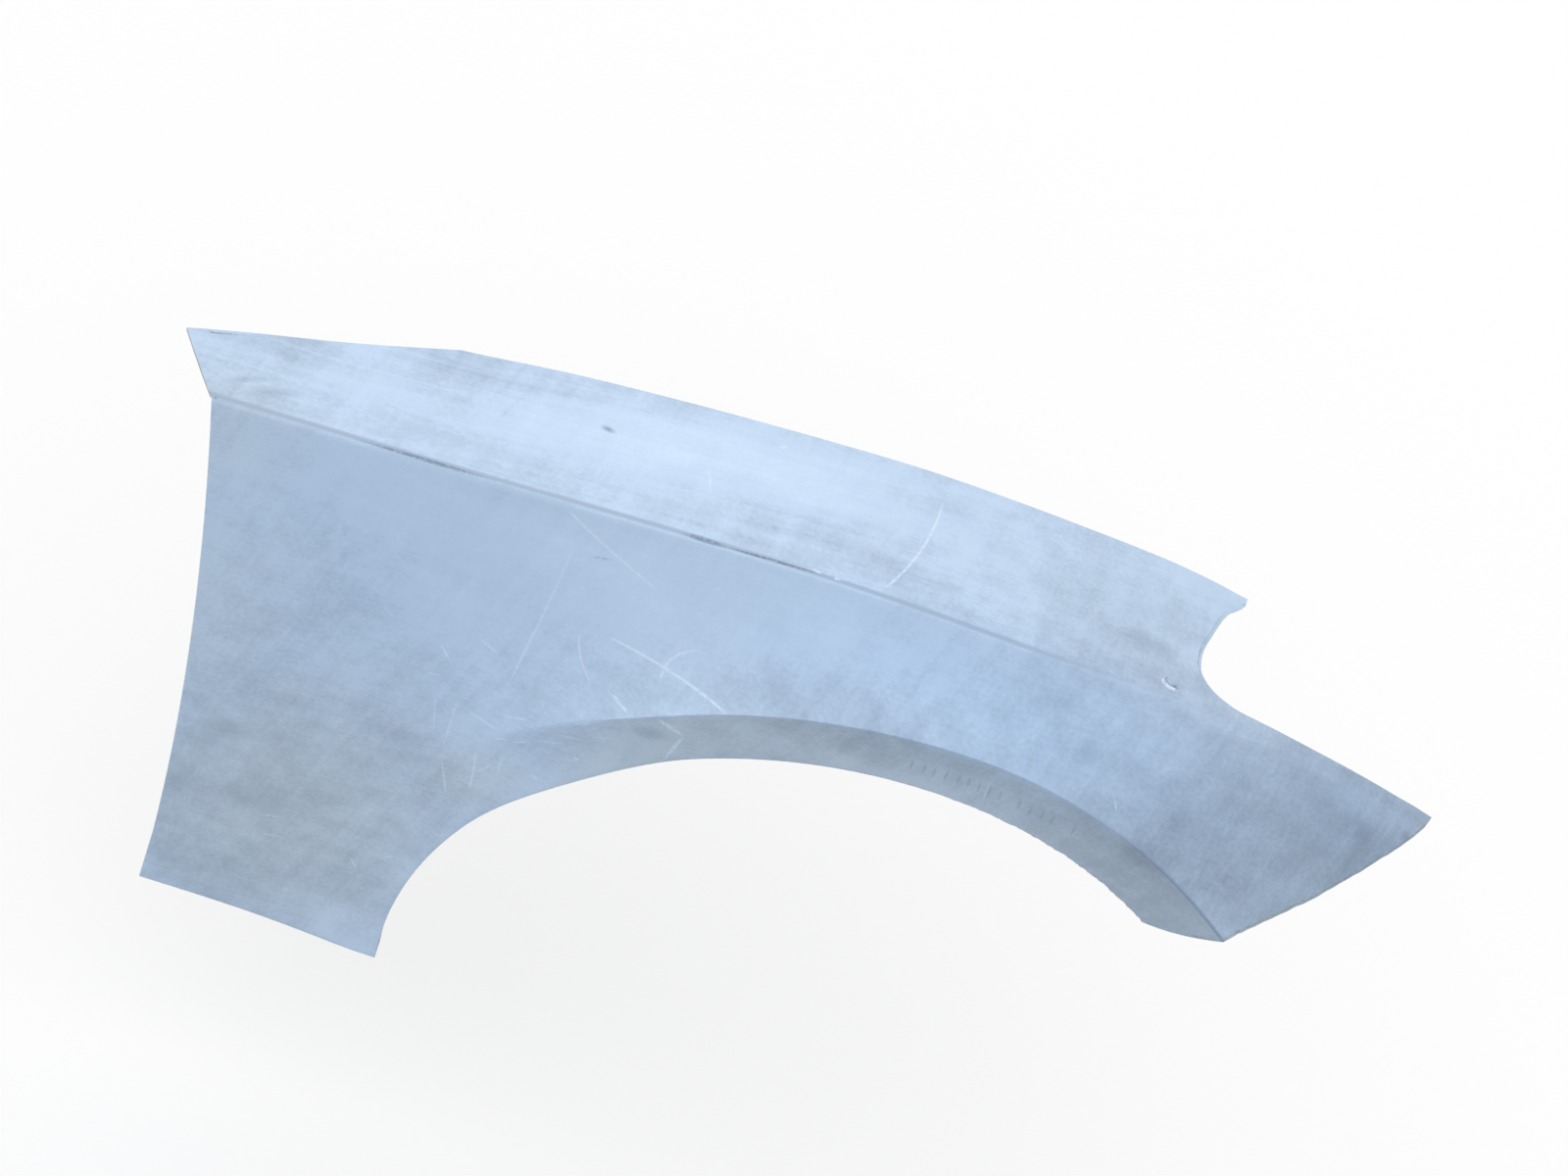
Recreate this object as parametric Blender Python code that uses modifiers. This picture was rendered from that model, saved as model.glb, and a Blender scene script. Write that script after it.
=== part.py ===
"""Right-hand front fender of a car, laid up in glass fibre as one moulding.

The outer skin has three faces: a shoulder that meets the bonnet, a side that
leans outwards over the wheel, and a tucked lip band round the wheel arch. The
shoulder and the side meet at the crease. Every edge is returned inwards, and
the return along the bonnet ends in a level ledge with bolt holes.

Lengths are in metres. The skin is worked out with the wheel's centre as zero,
+X forwards, +Y inboard and +Z up. The finished object is then moved so that
its origin lies on the underside of the ledge, where the car carries it.
"""

import math

import bmesh
import bpy
import numpy as np
from mathutils import Matrix, Vector

# Side view
ARCH_RADIUS = 0.360
LIP_BAND = 0.062
BAND_TAPER = 0.008
CROWN_RISE = 0.101
SILL_DROP = 0.062
SILL_RISE = 0.010
SILL_LENGTH = 0.212
DOOR_SLANT = 0.048
COWL_OVERHANG = 0.036
NOSE_OVERHANG = 0.069
DOOR_BOW = 0.0087
LIP_END_BOW = 0.005

# Plan view
NOSE_SWEEP = 0.146
SHOULDER_WIDTH = 0.138

# Flare over the wheel: how far it stands out, and how soon it dies away
FLARE = 0.028
FLARE_REACH = 0.045

# Wall and returned edges
WALL = 0.003
EDGE_RETURN = 0.012
DOOR_RETURN = 0.020
SILL_RETURN = 0.020
LIP_RETURN = 0.018
SEAM_RETURN = 0.020
NOTCH_RETURN = 0.030
LEDGE_DROP = 0.061
LEDGE_WIDTH = 0.024

# Bolt holes, and how far their cutters pass each face of the wall
LEDGE_HOLE_RADIUS = 0.0045
RETURN_HOLE_RADIUS = 0.0035
CUT_OVERRUN = 0.002

# Angles round the wheel's centre, in degrees from straight ahead
LIP_FRONT_ANGLE = 57.6
BAND_FRONT_ANGLE = 52.5
FADE_START_ANGLE = 122
FADE_END_ANGLE = 158

# Sizes that follow
BAND_RADIUS = ARCH_RADIUS + LIP_BAND
CROWN = BAND_RADIUS + CROWN_RISE
SILL_CORNER = math.sqrt(ARCH_RADIUS**2 - SILL_DROP**2)
DOOR_FOOT = SILL_CORNER + SILL_LENGTH
DOOR_TOP = DOOR_FOOT + DOOR_SLANT
REAR_REACH = DOOR_TOP + COWL_OVERHANG
FRONT_REACH = ARCH_RADIUS + NOSE_OVERHANG
LEDGE_HEIGHT = CROWN - LEDGE_DROP

# Shares. The first of each pair is the place along the fender: -1 at the rear
# corner, 0 at the wheel's centre and 1 at the nose's tip.
CREASE_HEIGHT_SHARES = (
    (-0.945, 0.880), (-0.615, 0.914), (-0.415, 0.938), (-0.200, 0.956), (0.050, 0.957), (0.280, 0.950),
    (0.420, 0.934), (0.594, 0.899), (0.746, 0.844), (0.888, 0.772), (1.000, 0.708),
)
CREASE_INSET_SHARES = (
    (-0.95, 0.14), (-0.31, 0.20), (0.00, 0.25), (0.25, 0.30), (0.47, 0.38), (0.61, 0.48), (0.84, 0.75),
    (1.00, 1.02),
)
LEAN_SHARES = ((-0.95, 0.04), (-0.62, 0.05), (-0.31, 0.14), (0.00, 0.28), (0.28, 0.38), (0.58, 0.47), (1.00, 0.50))
SHOULDER_SLOPE_SHARES = (
    (-1.00, 0.30), (-0.86, 0.16), (-0.72, 0.14), (-0.45, 0.18), (-0.15, 0.165), (0.12, 0.14), (0.35, 0.118),
    (0.45, 0.12), (0.56, 0.22), (0.75, 0.60), (1.00, 0.80),
)
FLARE_ANGLE_SHARES = ((40, 0.35), (60, 0.60), (90, 1.00), (120, 0.95), (158, 0.80))

# Edges of the shoulder: place along the fender, and share of the shoulder's width inboard of the crease
COWL_EDGE_SHARES = ((-1.000, 0.352), (-0.864, 0.584), (-0.716, 0.824))
BONNET_EDGE_SHARES = (
    (-0.716, 0.824), (-0.617, 0.871), (-0.451, 0.893), (-0.286, 0.931), (-0.138, 0.976), (0.025, 1.000),
    (0.189, 1.000), (0.318, 0.993), (0.427, 0.972),
)
LAMP_NOTCH_SHARES = (
    (0.461, 0.100), (0.396, 0.125), (0.350, 0.193), (0.330, 0.275), (0.329, 0.370), (0.352, 0.585),
    (0.388, 0.800), (0.423, 0.915), (0.427, 0.972),
)
NOSE_EDGE_SHARES = ((0.999, 0.072), (0.928, 0.068), (0.715, 0.050), (0.566, 0.068), (0.461, 0.100))

# Bumper seam: place along the fender, and share of the crown's height
SEAM_SHARES = ((0.690, 0.655), (0.766, 0.671), (0.834, 0.6875), (0.950, 0.7095))
NOSE_CREASE_SHARE = 0.983

# Mesh columns from the door to the nose, and rows from the lip to the bonnet
SILL_COLUMNS = 8
ARCH_COLUMNS = 59
COWL_COLUMNS = 9
BONNET_COLUMNS = 43
NOTCH_COLUMNS = 5
NOSE_COLUMNS = 10
BAND_ROWS = 3
NOSE_ROWS = 4
COLUMNS = SILL_COLUMNS + ARCH_COLUMNS
NOTCH_COLUMN = COWL_COLUMNS + BONNET_COLUMNS
SIDE_ROW_SHARES = (0.00, 0.07, 0.15, 0.24, 0.35, 0.47, 0.60, 0.73, 0.87, 1.00)
SHOULDER_ROW_SHARES = (0.00, 0.09, 0.18, 0.27, 0.36, 0.45, 0.54, 0.63, 0.72, 0.81, 0.90, 1.00)
SIDE_ROWS = len(SIDE_ROW_SHARES) - 1
SHOULDER_ROWS = len(SHOULDER_ROW_SHARES) - 1
CREASE_ROW = BAND_ROWS + SIDE_ROWS
NOSE_ROW = CREASE_ROW + NOSE_ROWS
TOP_ROW = CREASE_ROW + SHOULDER_ROWS

# Share of the columns, and the share of the arch or of the crease that lies behind them
ARCH_COLUMN_SHARES = ((0.0, 0.0), (0.746, 0.80), (1.0, 1.0))
CREASE_COLUMN_SHARES = ((0.0, 0.0), (0.134, 0.132), (0.478, 0.411), (0.776, 0.721), (0.851, 0.782), (1.0, 1.0))

# Directions of the returns, as shares along +X, +Y and +Z
DOOR_RETURN_SHARES = (0.10, 1.0, 0.0)
FLAT_RETURN_SHARES = (0.0, 1.0, 0.0)
SEAM_RETURN_SHARES = (-0.60, 0.80, 0.0)
NOSE_RETURN_SHARES = (0.0, 0.64, -0.77)
NOTCH_RETURN_SHARES = (-0.50, 0.0, -0.87)

# Ledge: where it is folded, and how many columns before the notch it stops
LEDGE_FOLD_SHARE = 0.25
LEDGE_STOP_COLUMNS = 2
DATUM_SHARE = 0.39

# Places of the bolt holes along their edges, and across the returns
LEDGE_HOLE_SHARES = (0.06, 0.28, 0.50, 0.72, 0.94)
SILL_HOLE_SHARES = (0.25, 0.68)
DOOR_HOLE_SHARES = (0.15, 0.62)
SEAM_HOLE_SHARES = (0.42, 0.75)
HOLE_ACROSS_SHARE = 0.6
HOLE_SEGMENTS = 20

COLOUR = (0.42, 0.53, 0.66, 1.0)
ROUGHNESS = 0.55
SHARP_EDGE = math.radians(28)


def smooth_curve(points, at):
    """Cubic through (place, value) points, straight beyond the first and the last."""
    place, value = np.array(points, float).T
    span = np.diff(place)
    rise = np.diff(value) / span
    inner = (rise[:-1] * span[1:] + rise[1:] * span[:-1]) / (span[:-1] + span[1:])
    slope = np.concatenate([rise[:1], inner, rise[-1:]])
    at = np.asarray(at, float)
    i = np.clip(np.searchsorted(place, at) - 1, 0, len(span) - 1)
    u = (at - place[i]) / span[i]
    values = (1 + 2 * u) * (1 - u) ** 2 * value[i] + u**2 * (3 - 2 * u) * value[i + 1]
    slopes = u * (1 - u) ** 2 * slope[i] - u**2 * (1 - u) * slope[i + 1]
    before = value[0] + (at - place[0]) * slope[0]
    after = value[-1] + (at - place[-1]) * slope[-1]
    return np.where(at < place[0], before, np.where(at > place[-1], after, values + slopes * span[i]))


def spaced(points, steps):
    """Evenly spaced points, one more than the steps, on a smooth curve through a few points."""
    points = np.array(points, float)
    run = np.concatenate([[0], np.cumsum(np.linalg.norm(np.diff(points, axis=0), axis=1))])
    at = np.linspace(0, run[-1], steps + 1)
    return np.column_stack([smooth_curve(np.column_stack([run, column]), at) for column in points.T])


def fade(share):
    """0 up to share 0 and 1 from share 1, with a soft start and end."""
    share = np.clip(share, 0, 1)
    return share * share * (3 - 2 * share)


def bow(share):
    """0 at both ends of an edge and 1 halfway."""
    return 4 * share * (1 - share)


def along(x):
    """Place along the fender, from -1 to 1, of a length from the wheel's centre."""
    return np.where(x < 0, x / REAR_REACH, x / FRONT_REACH)


def length_at(place):
    """Length from the wheel's centre of a place along the fender."""
    return np.where(place < 0, place * REAR_REACH, place * FRONT_REACH)


def crease_height(x):
    return CROWN * smooth_curve(CREASE_HEIGHT_SHARES, along(x))


def crease_inset(x):
    return NOSE_SWEEP * smooth_curve(CREASE_INSET_SHARES, along(x))


def wheel_angle(x, z):
    return np.degrees(np.arctan2(z, x)) % 360


def band_radius(angle):
    """Radius of the band's edge, which comes in a little towards the front."""
    return BAND_RADIUS - BAND_TAPER * fade((90 - angle) / (90 - BAND_FRONT_ANGLE))


def band_strength(x, z):
    """1 where the lip band is crisp, falling to 0 where it dies away behind the wheel."""
    return fade((FADE_END_ANGLE - wheel_angle(x, z)) / (FADE_END_ANGLE - FADE_START_ANGLE))


def wall_inset(x, z):
    """Inset of the side: the crease's, less the lean below it, less the flare round the arch."""
    lean = smooth_curve(LEAN_SHARES, along(x)) * (crease_height(x) - z)
    flare = FLARE * smooth_curve(FLARE_ANGLE_SHARES, wheel_angle(x, z)) * band_strength(x, z)
    beyond = np.maximum(np.hypot(x, z) - band_radius(wheel_angle(x, z)), 0)
    return crease_inset(x) - lean - flare * np.exp(-beyond / FLARE_REACH)


def side_inset(x, z):
    """Inset of the side and of the lip band, which runs from the flare's edge back to zero at the lip."""
    radius = np.hypot(x, z)
    edge = band_radius(wheel_angle(x, z))
    outwards = np.maximum(edge / radius, 1)
    down_band = np.clip((edge - radius) / (edge - ARCH_RADIUS), 0, 1)
    band = wall_inset(x * outwards, z * outwards) * (1 - down_band)
    strength = np.where(radius < edge, band_strength(x, z), 0)
    return strength * band + (1 - strength) * wall_inset(x, z)


def skin(x, girth):
    """Points of the skin: girth is the height below the crease where negative, and the run inboard of it above."""
    below = np.minimum(girth, 0)
    inboard = np.maximum(girth, 0)
    height = crease_height(x) + below
    rise = smooth_curve(SHOULDER_SLOPE_SHARES, along(x)) * inboard
    return np.stack([x, side_inset(x, height) + inboard, height + rise], axis=-1)


def side_points(x, z):
    """Points of the side as (length, girth) pairs."""
    return np.stack([x, z - crease_height(x)], axis=-1)


def shoulder_points(shares):
    """Share pairs on the shoulder as (length, girth) pairs."""
    place, width = np.array(shares).T
    return np.stack([length_at(place), width * SHOULDER_WIDTH], axis=-1)


def patch(bottom, top, rear, front, row_shares):
    """Points between four edges: the blends of facing edges added, less the blend of the corners."""
    u = np.linspace(0, 1, len(bottom))[:, None, None]
    v = np.array(row_shares)[None, :, None]
    upward = (1 - v) * bottom[:, None] + v * top[:, None]
    forward = (1 - u) * rear[None] + u * front[None]
    corners = (1 - u) * ((1 - v) * bottom[0] + v * top[0]) + u * ((1 - v) * bottom[-1] + v * top[-1])
    return upward + forward - corners


def ring(radius, foot_height, front_angle):
    """Lengths and heights round the wheel, from a height behind it to an angle in front."""
    rear_angle = 180 - math.degrees(math.asin(foot_height / radius))
    share = smooth_curve(ARCH_COLUMN_SHARES, np.linspace(0, 1, ARCH_COLUMNS + 1))
    angle = np.radians(rear_angle + share * (front_angle - rear_angle))
    return radius * np.cos(angle), radius * np.sin(angle)


def foot_edge(radius, height, front_angle):
    """Edge from the door to a ring round the wheel, level but for its rising front end, then along the ring."""
    x, z = ring(radius, height + SILL_RISE, front_angle)
    share = np.linspace(0, 1, SILL_COLUMNS + 1)[:-1]
    sill_x = -DOOR_FOOT + share * (x[0] + DOOR_FOOT)
    return np.concatenate([sill_x, x]), np.concatenate([height + SILL_RISE * share**6, z])


def band_net():
    """Lip band, from the sill and the lip to the band's edge."""
    rows = np.linspace(0, 1, BAND_ROWS + 1)
    inner_x, inner_z = foot_edge(ARCH_RADIUS, -SILL_DROP, LIP_FRONT_ANGLE)
    outer_x, outer_z = foot_edge(BAND_RADIUS, LIP_BAND - SILL_DROP, BAND_FRONT_ANGLE)
    taper = band_radius(wheel_angle(outer_x, outer_z)) / BAND_RADIUS
    outer_x, outer_z = outer_x * taper, outer_z * taper
    x = inner_x[:, None] + rows * (outer_x - inner_x)[:, None]
    z = inner_z[:, None] + rows * (outer_z - inner_z)[:, None]
    z[-1] -= LIP_END_BOW * bow(rows)
    return side_points(x, z)


def crease_edge():
    run = smooth_curve(CREASE_COLUMN_SHARES, np.linspace(0, 1, COLUMNS + 1))
    nose = NOSE_CREASE_SHARE * FRONT_REACH
    x = run * (DOOR_TOP + nose) - DOOR_TOP
    return np.stack([x, np.zeros(COLUMNS + 1)], axis=-1)


def side_net(band_edge, crease):
    """Side, between the band's edge, the crease, the bowed door edge and the bumper seam."""
    rows = np.array(SIDE_ROW_SHARES)
    door = band_edge[0] + rows[:, None] * (crease[0] - band_edge[0])
    door[:, 0] += DOOR_BOW * bow(rows)
    place, height = np.array(SEAM_SHARES).T
    seam = np.vstack([band_edge[-1], side_points(length_at(place), CROWN * height), crease[-1]])
    return patch(band_edge, crease, door, spaced(seam, SIDE_ROWS), rows)


def shoulder_nets(crease):
    """Shoulder, in two nets that share the column at the lamp notch: behind it, and the narrow nose."""
    cowl = spaced(shoulder_points(COWL_EDGE_SHARES), COWL_COLUMNS)
    bonnet = spaced(shoulder_points(BONNET_EDGE_SHARES), BONNET_COLUMNS)
    notch = spaced(shoulder_points(LAMP_NOTCH_SHARES), NOTCH_COLUMNS + SHOULDER_ROWS - NOSE_ROWS)
    nose = spaced(shoulder_points(NOSE_EDGE_SHARES), NOSE_COLUMNS)
    split = NOTCH_COLUMN
    rows = np.array(SHOULDER_ROW_SHARES)
    rear = crease[0] + rows[:, None] * (cowl[0] - crease[0])
    under_notch = spaced([crease[split], notch[NOTCH_COLUMNS]], NOSE_ROWS)
    front = np.vstack([under_notch[:-1], notch[NOTCH_COLUMNS:]])
    wide = patch(crease[: split + 1], np.vstack([cowl[:-1], bonnet]), rear, front, rows)
    nose_top = np.vstack([notch[: NOTCH_COLUMNS + 1][::-1][:-1], nose[::-1]])
    tip = spaced([crease[-1], nose[0]], NOSE_ROWS)
    narrow = patch(crease[split:], nose_top, under_notch, tip, np.linspace(0, 1, NOSE_ROWS + 1))
    return wide, narrow


def skin_net():
    """Points of the skin by column and row, with nan where the nose has no such row."""
    band = band_net()
    crease = crease_edge()
    side = side_net(band[:, -1], crease)
    wide, narrow = shoulder_nets(crease)
    net = np.full((COLUMNS + 1, TOP_ROW + 1, 2), np.nan)
    net[:, :BAND_ROWS] = band[:, :-1]
    net[:, BAND_ROWS : CREASE_ROW + 1] = side
    net[: NOTCH_COLUMN + 1, CREASE_ROW:] = wide
    net[NOTCH_COLUMN + 1 :, CREASE_ROW : NOSE_ROW + 1] = narrow[1:]
    return skin(net[..., 0], net[..., 1])


def straight(cells, direction_shares, length):
    """The same return at every cell of an edge."""
    return np.tile(np.array(direction_shares) * length, (len(cells), 1))


def drop(points, cells):
    """A return straight down to the ledge's height."""
    height = np.array([points[cell][2] for cell in cells])
    return np.outer(LEDGE_HEIGHT - height, (0, 0, 1))


def rim_runs(points):
    """Edges in turn round the rim: the (column, row) cells of each, and the return at every one of them.

    The tips at the nose, the lamp notch and the cowl are left without returns.
    """
    notch_front = NOTCH_COLUMN + NOTCH_COLUMNS
    sill = [(column, 0) for column in range(SILL_COLUMNS + 1)]
    lip = [(column, 0) for column in range(SILL_COLUMNS, COLUMNS + 1)]
    seam = [(COLUMNS, row) for row in range(CREASE_ROW + 1)]
    nose = [(column, NOSE_ROW) for column in range(COLUMNS - 1, notch_front - 1, -1)]
    notch = [(column, NOSE_ROW) for column in range(notch_front, NOTCH_COLUMN, -1)]
    notch += [(NOTCH_COLUMN, row) for row in range(NOSE_ROW, TOP_ROW)]
    bonnet = [(column, TOP_ROW) for column in range(NOTCH_COLUMN - 1, 0, -1)]
    door = [(0, row) for row in range(CREASE_ROW, -1, -1)]
    notch_foot = straight(notch, NOSE_RETURN_SHARES, EDGE_RETURN)
    notch_tip = straight(notch, NOTCH_RETURN_SHARES, NOTCH_RETURN)
    turn = fade(np.linspace(0, 1, len(notch)))[:, None]
    return {
        "sill": (sill, straight(sill, FLAT_RETURN_SHARES, SILL_RETURN)),
        "lip": (lip, straight(lip, FLAT_RETURN_SHARES, LIP_RETURN)),
        "seam": (seam, straight(seam, SEAM_RETURN_SHARES, SEAM_RETURN)),
        "nose": (nose, straight(nose, NOSE_RETURN_SHARES, EDGE_RETURN)),
        "notch": (notch, notch_foot + turn * (notch_tip - notch_foot)),
        "bonnet": (bonnet, drop(points, bonnet)),
        "door": (door, straight(door, DOOR_RETURN_SHARES, DOOR_RETURN)),
    }


def folded_rim(points, runs):
    """Point that the return reaches from each cell of the rim, averaged where two edges share the cell."""
    reach = {}
    for cells, vectors in runs.values():
        for cell, vector in zip(cells, vectors):
            reach.setdefault(cell, []).append(vector)
    return {cell: points[cell] + np.mean(vectors, axis=0) for cell, vectors in reach.items()}


class Shell:
    """Points and faces, with one vertex for every key."""

    def __init__(self):
        self.places = {}
        self.points = []
        self.faces = []

    def face(self, corners):
        for key, point in corners:
            if key not in self.places:
                self.places[key] = len(self.points)
                self.points.append(tuple(point))
        self.faces.append([self.places[key] for key, point in corners])


def add_skin(shell, points):
    """Quads of the net, wherever all four corners exist."""
    for column in range(COLUMNS):
        for row in range(TOP_ROW):
            cells = [(column, row), (column + 1, row), (column + 1, row + 1), (column, row + 1)]
            if all(np.isfinite(points[cell][0]) for cell in cells):
                shell.face([(("skin", cell), points[cell]) for cell in cells])


def add_returns(shell, points, runs, end_of):
    for cells, vectors in runs.values():
        for here, ahead in zip(cells[:-1], cells[1:]):
            near = [(("skin", cell), points[cell]) for cell in (ahead, here)]
            far = [(("fold", cell), end_of[cell]) for cell in (here, ahead)]
            shell.face(near + far)


def ledge_cells():
    return [(column, TOP_ROW) for column in range(NOTCH_COLUMN - LEDGE_STOP_COLUMNS, COWL_COLUMNS - 1, -1)]


def add_ledge(shell, end_of):
    """Level strip inboard of the fold, with a narrow row first so that the rest is quite flat."""
    inboard = np.array(FLAT_RETURN_SHARES) * LEDGE_WIDTH
    cells = ledge_cells()
    for near, far in ((0, LEDGE_FOLD_SHARE), (LEDGE_FOLD_SHARE, 1)):
        for here, ahead in zip(cells[:-1], cells[1:]):
            ring_of_four = ((ahead, near), (here, near), (here, far), (ahead, far))
            corners = []
            for cell, share in ring_of_four:
                key = ("ledge", cell, share) if share else ("fold", cell)
                corners.append((key, end_of[cell] + share * inboard))
            shell.face(corners)


def bolt_holes(line, vectors, shares, radius):
    """Middle of the wall, axis and radius of each hole along an edge with a return or a ledge."""
    holes = []
    for share in shares:
        place = share * (len(line) - 1)
        first = int(place)
        part = place - first
        start = line[first] + part * (line[first + 1] - line[first])
        vector = vectors[first]
        outward = np.cross(vector, line[first + 1] - line[first])
        outward = outward / np.linalg.norm(outward)
        holes.append((start + HOLE_ACROSS_SHARE * vector - outward * WALL / 2, outward, radius))
    return holes


def all_holes(points, runs, end_of):
    holes = []
    for name, shares in (("sill", SILL_HOLE_SHARES), ("seam", SEAM_HOLE_SHARES), ("door", DOOR_HOLE_SHARES)):
        cells, vectors = runs[name]
        holes += bolt_holes([points[cell] for cell in cells], vectors, shares, RETURN_HOLE_RADIUS)
    fold = [end_of[cell] for cell in ledge_cells()]
    vectors = straight(fold, FLAT_RETURN_SHARES, LEDGE_WIDTH)
    return holes + bolt_holes(fold, vectors, LEDGE_HOLE_SHARES, LEDGE_HOLE_RADIUS)


def datum(end_of):
    """Point of the ledge's underside where the car carries the fender, between two bolt holes."""
    fold = [end_of[cell] for cell in ledge_cells()]
    place = fold[round(DATUM_SHARE * (len(fold) - 1))]
    return place + np.array(FLAT_RETURN_SHARES) * LEDGE_WIDTH * HOLE_ACROSS_SHARE - np.array((0, 0, WALL))


def clear_scene():
    for old in list(bpy.data.objects):
        bpy.data.objects.remove(old, do_unlink=True)


def collection(name):
    made = bpy.data.collections.new(name)
    bpy.context.scene.collection.children.link(made)
    return made


def moulding_material():
    """Matte blue-grey gel coat."""
    material = bpy.data.materials.new("gel_coat")
    material.use_nodes = True
    shader = material.node_tree.nodes["Principled BSDF"]
    shader.inputs["Base Color"].default_value = COLOUR
    shader.inputs["Roughness"].default_value = ROUGHNESS
    return material


def hole_cutter(holes, origin, into):
    """One mesh of all the bolt holes' cylinders."""
    mesh = bpy.data.meshes.new("bolt_hole_cutter")
    cylinders = bmesh.new()
    for centre, outward, radius in holes:
        turn = Vector((0, 0, 1)).rotation_difference(Vector(outward)).to_matrix().to_4x4()
        bmesh.ops.create_cone(
            cylinders,
            cap_ends=True,
            segments=HOLE_SEGMENTS,
            radius1=radius,
            radius2=radius,
            depth=WALL + 2 * CUT_OVERRUN,
            matrix=Matrix.Translation(Vector(centre - origin)) @ turn,
        )
    cylinders.to_mesh(mesh)
    cylinders.free()
    cutter = bpy.data.objects.new("bolt_hole_cutter", mesh)
    cutter.display_type = "WIRE"
    cutter.hide_render = True
    into.objects.link(cutter)
    return cutter


def fender_panel():
    points = skin_net()
    runs = rim_runs(points)
    end_of = folded_rim(points, runs)
    shell = Shell()
    add_skin(shell, points)
    add_returns(shell, points, runs, end_of)
    add_ledge(shell, end_of)
    origin = datum(end_of)
    mesh = bpy.data.meshes.new("fender_panel")
    mesh.from_pydata([tuple(np.array(point) - origin) for point in shell.points], [], shell.faces)
    mesh.materials.append(moulding_material())
    mesh.shade_smooth()
    mesh.set_sharp_from_angle(angle=SHARP_EDGE)
    panel = bpy.data.objects.new("fender_panel", mesh)
    collection("car_fender").objects.link(panel)
    thickness = panel.modifiers.new("wall", "SOLIDIFY")
    thickness.thickness = WALL
    thickness.offset = -1
    thickness.use_even_offset = True
    cut = panel.modifiers.new("bolt_holes", "BOOLEAN")
    cut.operation = "DIFFERENCE"
    cut.solver = "EXACT"
    cut.object = hole_cutter(all_holes(points, runs, end_of), origin, collection("cutters"))
    return panel


clear_scene()
fender_panel()
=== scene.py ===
"""Looks of the glass-fibre car fender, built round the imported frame.

The outer skin is worked out from the same sizes as the solid, on a much finer
grid, with a rounded crease and slightly uneven trimmed edges. Lengths are in
metres, with the wheel's centre as zero, +X forwards, +Y inboard and +Z up; the
finished mesh is then moved into the frame, whose origin is on the bonnet ledge.
"""
import math

import bpy
import numpy as np
from mathutils import Matrix, Vector


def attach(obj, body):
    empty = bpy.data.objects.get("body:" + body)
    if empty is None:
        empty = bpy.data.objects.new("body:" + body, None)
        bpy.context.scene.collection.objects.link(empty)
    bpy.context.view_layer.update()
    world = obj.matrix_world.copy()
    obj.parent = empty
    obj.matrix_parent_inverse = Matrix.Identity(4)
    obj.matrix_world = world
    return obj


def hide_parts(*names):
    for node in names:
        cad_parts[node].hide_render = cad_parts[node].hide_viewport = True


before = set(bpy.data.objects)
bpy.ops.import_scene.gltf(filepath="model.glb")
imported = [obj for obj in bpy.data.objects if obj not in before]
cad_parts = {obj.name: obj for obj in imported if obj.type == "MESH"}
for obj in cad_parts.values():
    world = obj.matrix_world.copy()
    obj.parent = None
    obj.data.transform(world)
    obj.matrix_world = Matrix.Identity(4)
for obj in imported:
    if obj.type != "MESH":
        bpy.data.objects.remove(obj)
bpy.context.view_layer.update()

# The frame's origin, seen from the wheel's centre
LEDGE_POINT = np.array((-0.08871, 0.17804, 0.459))

# Side view
ARCH_RADIUS = 0.360
LIP_BAND = 0.062
BAND_TAPER = 0.008
CROWN_RISE = 0.101
SILL_DROP = 0.062
SILL_RISE = 0.010
SILL_RISE_POWER = 6
SILL_LENGTH = 0.212
DOOR_SLANT = 0.048
COWL_OVERHANG = 0.036
NOSE_OVERHANG = 0.069
DOOR_BOW = 0.0087
LIP_END_BOW = 0.005
BAND_RADIUS = ARCH_RADIUS + LIP_BAND
CROWN = BAND_RADIUS + CROWN_RISE
DOOR_FOOT = math.sqrt(ARCH_RADIUS**2 - SILL_DROP**2) + SILL_LENGTH
DOOR_TOP = DOOR_FOOT + DOOR_SLANT
REAR_REACH = DOOR_TOP + COWL_OVERHANG
FRONT_REACH = ARCH_RADIUS + NOSE_OVERHANG

# Plan view and flare
NOSE_SWEEP = 0.146
SHOULDER_WIDTH = 0.138
FLARE = 0.028
FLARE_REACH = 0.045

# Wall, returns and ledge
WALL = 0.003
EDGE_RETURN = 0.012
DOOR_RETURN = 0.020
SILL_RETURN = 0.020
LIP_RETURN = 0.018
SEAM_RETURN = 0.020
NOTCH_RETURN = 0.030
LEDGE_HEIGHT = CROWN - 0.061
LEDGE_WIDTH = 0.024
LEDGE_HOLE_RADIUS = 0.0045
RETURN_HOLE_RADIUS = 0.0035
EDGE_ROUNDING = 0.0022

# Bolt holes: shares of each edge's length, and of the width of its return or of the ledge
DOOR_HOLES = (0.215, 0.793)
SILL_HOLES = (0.25, 0.68)
SEAM_HOLES = (0.227, 0.667)
LEDGE_HOLES = (0.06, 0.28, 0.50, 0.72, 0.94)
HOLE_ACROSS = 0.6
HOLE_SIDES = 40
CUT_OVERRUN = 0.003

# Directions of the returns along +X, +Y and +Z
INBOARD = (0.0, 1.0, 0.0)
DOOR_FOLD = (0.10, 1.0, 0.0)
SEAM_FOLD = (-0.60, 0.80, 0.0)
NOSE_FOLD = (0.0, 0.64, -0.77)
NOTCH_FOLD = (-0.50, 0.0, -0.87)

# Angles round the wheel's centre, in degrees from straight ahead
LIP_FRONT_ANGLE = 57.6
BAND_FRONT_ANGLE = 52.5
FADE_START_ANGLE = 122
FADE_END_ANGLE = 158

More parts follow.
